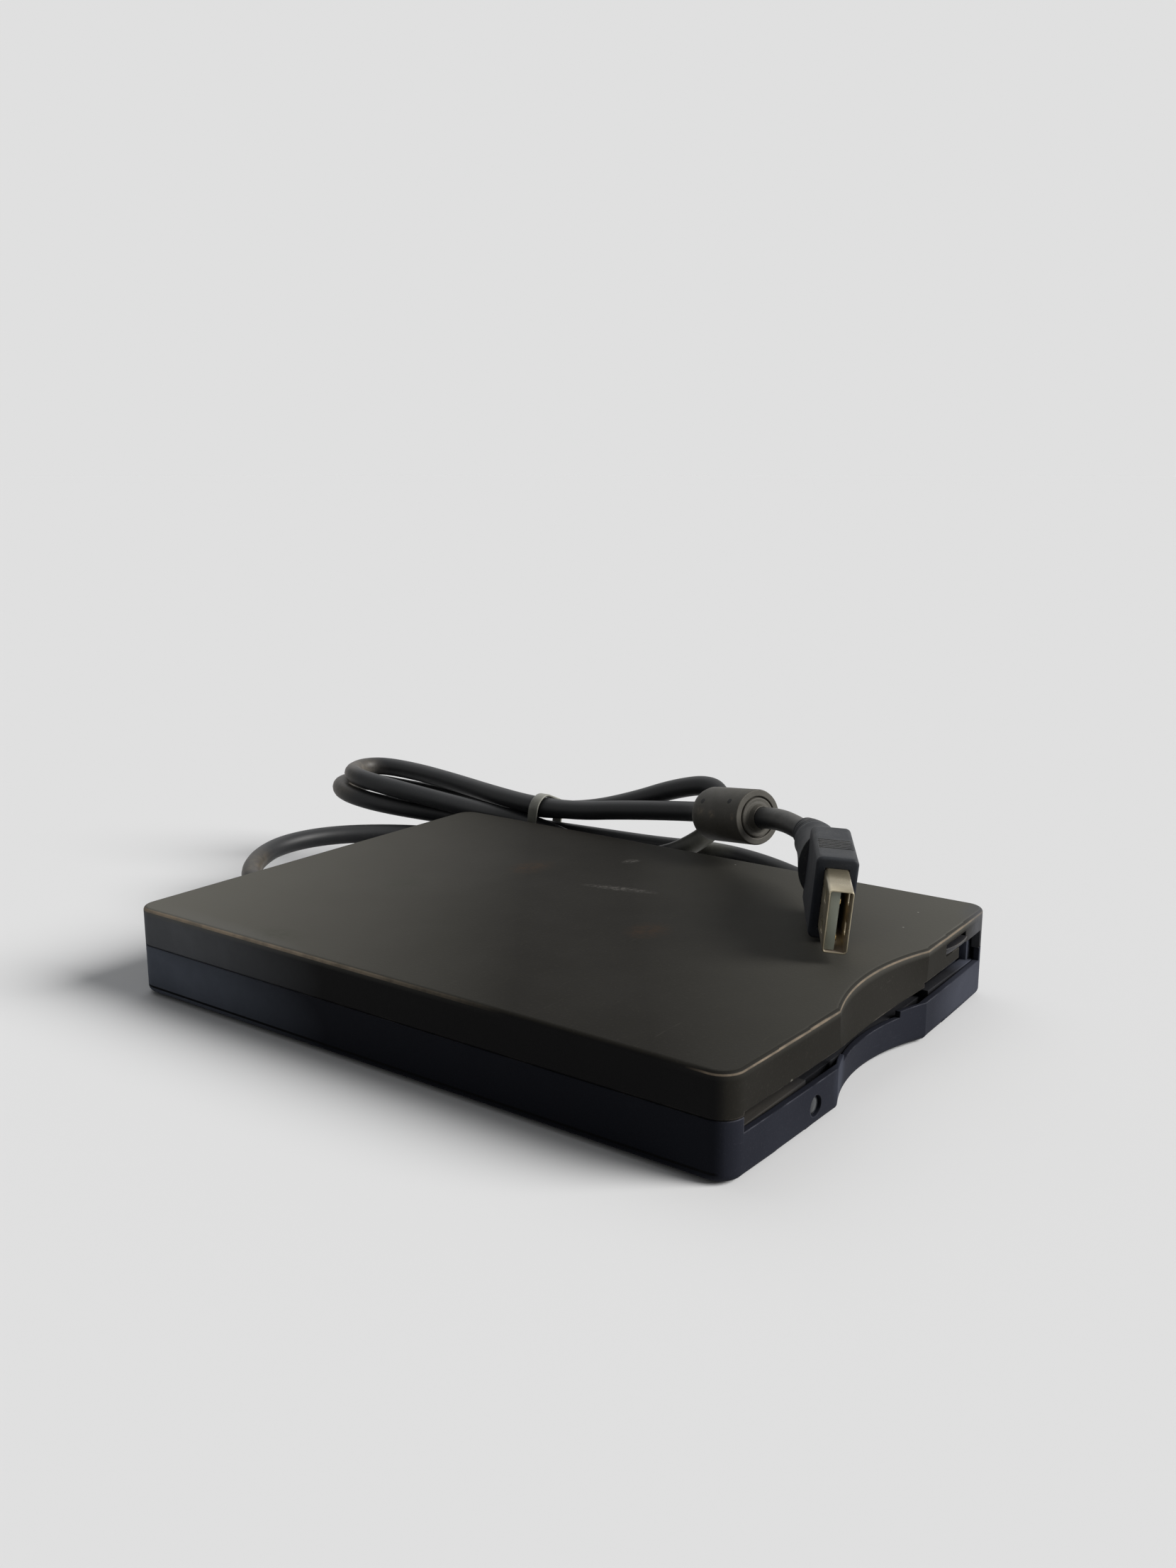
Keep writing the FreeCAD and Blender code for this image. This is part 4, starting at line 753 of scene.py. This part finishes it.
bmesh.ops.transform(sleeve, matrix=to_ferrite, verts=sleeve.verts)
sleeve_plastic = moulded_plastic("ferrite_sleeve_plastic", (0.050, 0.047, 0.040), (0.076, 0.072, 0.062),
                                 (0.17, 0.155, 0.135), roughness=0.58, gloss=0.2, cloud=0.008,
                                 pitch=0.0004, edge=0.0003, wear=0.4, scuffs=0.45, fleck=0.2)
for scuffed, reach in (((48.2, -2.5, 29.4), 2.2), ((46.9, -6.5, 29.6), 1.6), ((44.5, -13.5, 30.5), 0.9)):
    add_smudge(sleeve_plastic, scuffed, (reach, reach, 1.2), (0.19, 0.155, 0.115), 0.6, gaps=0.8,
               strand=0.8)
# The dimples are painted shade: dark spots, with no hollow in the form.
for dimple_shade in ((49.6, -2.5, 31.6), (46.5, -11.3, 33.4), (51.0, -16.0, 35.7)):
    add_smudge(sleeve_plastic, dimple_shade, (0.75, 0.75, 0.75), (0.003, 0.003, 0.003), 2.5, gaps=0.0)
sleeve_piece = place_piece("ferrite_jacket", sleeve, "root", ["ferrite_sleeve"],
                           sleeve_plastic)


# ---- Plug ------------------------------------------------------------------------------------------
# A USB-A plug. Its steel shell is folded from nickel-plated strip round a pale nylon tongue
# with four gold springs, and a soft black grip is moulded over its rear end.
PLUG_MOUTH = Vector((0.46, -61.2, 26.75)) * MM
PLUG_YAW, PLUG_TILT, PLUG_ROLL = 30.8, -3.5, 4.6
SHELL_LENGTH, SHELL_WIDTH, SHELL_THICK, SHELL_WALL, FOLD_RADIUS = 15.75, 12.0, 4.5, 0.3, 0.65
WINDOW_START, WINDOW_END, WINDOW_INNER, WINDOW_OUTER = 4.2, 6.4, 1.7, 4.1
to_plug = (Matrix.Translation(PLUG_MOUTH) @ Matrix.Rotation(math.radians(PLUG_YAW), 4, "Z")
           @ Matrix.Rotation(math.radians(PLUG_TILT), 4, "Y")
           @ Matrix.Rotation(math.radians(PLUG_ROLL), 4, "X") @ Matrix.Scale(MM, 4))

shell = bmesh.new()
bmesh.ops.create_cube(shell, size=1)
bmesh.ops.scale(shell, vec=(SHELL_LENGTH, SHELL_THICK, SHELL_WIDTH), verts=shell.verts)
bmesh.ops.translate(shell, vec=(SHELL_LENGTH / 2, 0, 0), verts=shell.verts)
ends = [face for face in shell.faces if abs(face.normal.x) > 0.9]
bmesh.ops.delete(shell, geom=ends, context="FACES_ONLY")
folds = [edge for edge in shell.edges if abs(edge.verts[0].co.x - edge.verts[1].co.x) > 1]
bmesh.ops.bevel(shell, geom=folds, offset=FOLD_RADIUS, segments=5, profile=0.5, affect="EDGES",
                material=-1)
window_sides = (-WINDOW_OUTER, -WINDOW_INNER, WINDOW_INNER, WINDOW_OUTER)
cuts = [((along, 0, 0), (1, 0, 0)) for along in (WINDOW_START, WINDOW_END)]
cuts += [((0, 0, side), (0, 0, 1)) for side in window_sides]
for cut_place, cut_way in cuts:
    bmesh.ops.bisect_plane(shell, geom=shell.verts[:] + shell.edges[:] + shell.faces[:],
                           plane_co=cut_place, plane_no=cut_way, dist=0.001)
windows = []
for face in shell.faces:
    middle = face.calc_center_median()
    in_window = WINDOW_START < middle.x < WINDOW_END and WINDOW_INNER < abs(middle.z) < WINDOW_OUTER
    if abs(face.normal.y) > 0.9 and in_window:
        windows.append(face)
bmesh.ops.delete(shell, geom=windows, context="FACES")
bmesh.ops.recalc_face_normals(shell, faces=shell.faces)
bmesh.ops.solidify(shell, geom=shell.faces[:], thickness=SHELL_WALL)
bmesh.ops.transform(shell, matrix=to_plug, verts=shell.verts)
soften(shell, 0.09, 2, steeper=60)

# The inside of the shell takes the second material, a dull pale brown that paints in light where its
# walls lie in shade.
INSIDE_MARGIN = 0.2
from_plug = to_plug.inverted()
for face in shell.faces:
    middle = from_plug @ face.calc_center_median()
    inside = (abs(middle.y) < SHELL_THICK / 2 - INSIDE_MARGIN
              and abs(middle.z) < SHELL_WIDTH / 2 - INSIDE_MARGIN)
    if inside and middle.x > INSIDE_MARGIN:
        face.material_index = 1
plug_plate = bare_metal("nickel_plate", (0.27, 0.235, 0.165), (0.43, 0.38, 0.27), 0.36, along=(1, 1, 1),
                        line=0.004, spangle=0.004, contrast=0.3, metallic=0.78, relief=0.003)
# A painted highlight: a thin bright streak on the shell just behind its mouth.
add_smudge(plug_plate, (3.4, -61.0, 25.4), (0.16, 0.5, 2.6), (0.60, 0.55, 0.44), 0.8, gaps=0.2)
shell_piece = place_piece("folded_shell", shell, "root", ["plug_shell"], plug_plate)
shell_piece.data.materials.append(moulded_plastic(
    "inside_painted_light", (0.26, 0.215, 0.165), (0.40, 0.335, 0.26), (0.50, 0.43, 0.35), roughness=0.45,
    gloss=0.5, relief=0.004, cloud=0.004, edge=0.0001))

tongue = form_of("plug_tongue")
soften(tongue, 0.15, 2)
tongue_nylon = moulded_plastic("tongue_nylon", (0.20, 0.215, 0.175), (0.27, 0.285, 0.235),
                               (0.34, 0.35, 0.30), roughness=0.45, gloss=0.3, edge=0.0002)
tongue_piece = place_piece("socket_tongue", tongue, "root", ["plug_tongue"],
                           tongue_nylon)
springs = form_of("plug_contacts")
soften(springs, 0.05, 2)
spring_gold = bare_metal("gold_flash", (0.60, 0.42, 0.16), (0.83, 0.62, 0.28), 0.25, line=0.002)
spring_piece = place_piece("contact_springs", springs, "root", ["plug_contacts"],
                           spring_gold)

# The grip's front rim, outside the hole for the shell, is rounded more than its other edges.
SHELL_SHOWN, GRIP_LENGTH = 11.75, 18.9
HOLE_THICK, HOLE_WIDE, RIM_ROUNDING = 2.5, 7.0, 0.75
grip = form_of("plug_overmold")
bmesh.ops.transform(grip, matrix=from_plug, verts=grip.verts)
front_corners = {corner for corner in grip.verts if corner.co.x < SHELL_SHOWN + 0.01
                 and (abs(corner.co.y) > HOLE_THICK or abs(corner.co.z) > HOLE_WIDE)}
front_rim = [edge for edge in grip.edges if front_corners.issuperset(edge.verts)]
bmesh.ops.bevel(grip, geom=front_rim, offset=RIM_ROUNDING, segments=4, profile=0.5, affect="EDGES",
                material=-1, clamp_overlap=True)
bmesh.ops.transform(grip, matrix=to_plug, verts=grip.verts)
soften(grip, 0.16, 2)
grip_rubber = plug_rubber.copy()
grip_rubber.name = "grip_rubber"
# Painted shade over the grip's front end.
add_smudge(grip_rubber, to_plug @ Vector((2.0, 0, 0)) / MM, (15.5, 15.5, 15.5), (0.0065, 0.0085, 0.0135),
           2.2, gaps=0.1)
tree = grip_rubber.node_tree
# Painted shade on one broad side of the grip, chosen by the way the face points.
side_normal = add_node(tree, "ShaderNodeNewGeometry").outputs["Normal"]
broad_side = add_node(tree, "ShaderNodeVectorMath", {0: side_normal, 1: to_plug.to_3x3().col[1] / MM},
                      operation="DOT_PRODUCT").outputs["Value"]
add_mark(grip_rubber, ramp(tree, broad_side, 0.7, 0.95, 0.0, 0.8), (0.0060, 0.0075, 0.0110))
grip_piece = place_piece("plug_grip", grip, "root", ["plug_overmold"], grip_rubber)

# The bend sleeve is round and grooved where the lead enters it, then flares into a long oval
# that covers the grip's rear. Its first two rings form the hole that hugs the lead.
HUG_RADIUS, HUG_STATION, BEND_REACH = 2.42, 6, 6.5
relief_start, relief_way = Vector((42.4, -32.2, 30.65)), Vector((-0.52, -0.85, -0.075))
grip_back = to_plug @ Vector((SHELL_SHOWN + GRIP_LENGTH, 1.0, 0)) / MM
grip_way, grip_up = to_plug.to_3x3().col[0] / MM, to_plug.to_3x3().col[2] / MM
STATIONS = 72
NECK_RADIUS, BARREL_GAIN, BARREL_START = 2.95, 1.45, 0.34
FLARE_START, FLARE_TALL, FLARE_THICK = 0.42, 2.6, 0.25
GROOVED_SHARE, GROOVE_DEPTH, GROOVE_WIDTH, SLEEVE_LENGTH = 0.27, 0.4, 0.36, 15.5
middles = interpolate_bezier(relief_start, relief_start + relief_way * BEND_REACH,
                             grip_back + grip_way * BEND_REACH, grip_back, STATIONS)


def sleeve_size(share):
    """Half the sleeve's height and thickness at a share of its length."""
    flare = max(0.0, (share - FLARE_START) / (1.0 - FLARE_START)) ** 1.5
    grooved = share < GROOVED_SHARE and (share * SLEEVE_LENGTH) % 1.0 < GROOVE_WIDTH
    round_part = NECK_RADIUS + BARREL_GAIN * min(1.0, share / BARREL_START)
    round_part -= GROOVE_DEPTH if grooved else 0.0
    return round_part + flare * FLARE_TALL, round_part + flare * FLARE_THICK


def sleeve_ring(middle, way, tall, thick):
    """The edges of one oval ring of the sleeve, across the given way."""
    upward = (grip_up - way * grip_up.dot(way)).normalized()
    turned = Matrix((way.cross(upward), upward, way)).transposed().to_4x4()
    made = bmesh.ops.create_circle(relief, segments=48, radius=MM,
                                   matrix=Matrix.Translation(middle * MM) @ turned
                                   @ Matrix.Diagonal((thick, tall, 1, 1)))
    return list({edge for vert in made["verts"] for edge in vert.link_edges})


relief = bmesh.new()
rings = [sleeve_ring(middles[station], relief_way.normalized(), HUG_RADIUS, HUG_RADIUS)
         for station in (HUG_STATION, 0)]
for index in range(STATIONS):
    ahead, behind = middles[min(index + 1, STATIONS - 1)], middles[max(index - 1, 0)]
    tall, thick = sleeve_size(index / (STATIONS - 1))
    rings.append(sleeve_ring(middles[index], (ahead - behind).normalized(), tall, thick))
for one, other in zip(rings, rings[1:]):
    bmesh.ops.bridge_loops(relief, edges=one + other)
bmesh.ops.holes_fill(relief, edges=relief.edges, sides=0)
relief_piece = place_piece("bend_sleeve", relief, "root", ["plug_strain_relief"],
                           plug_rubber, crease=40)
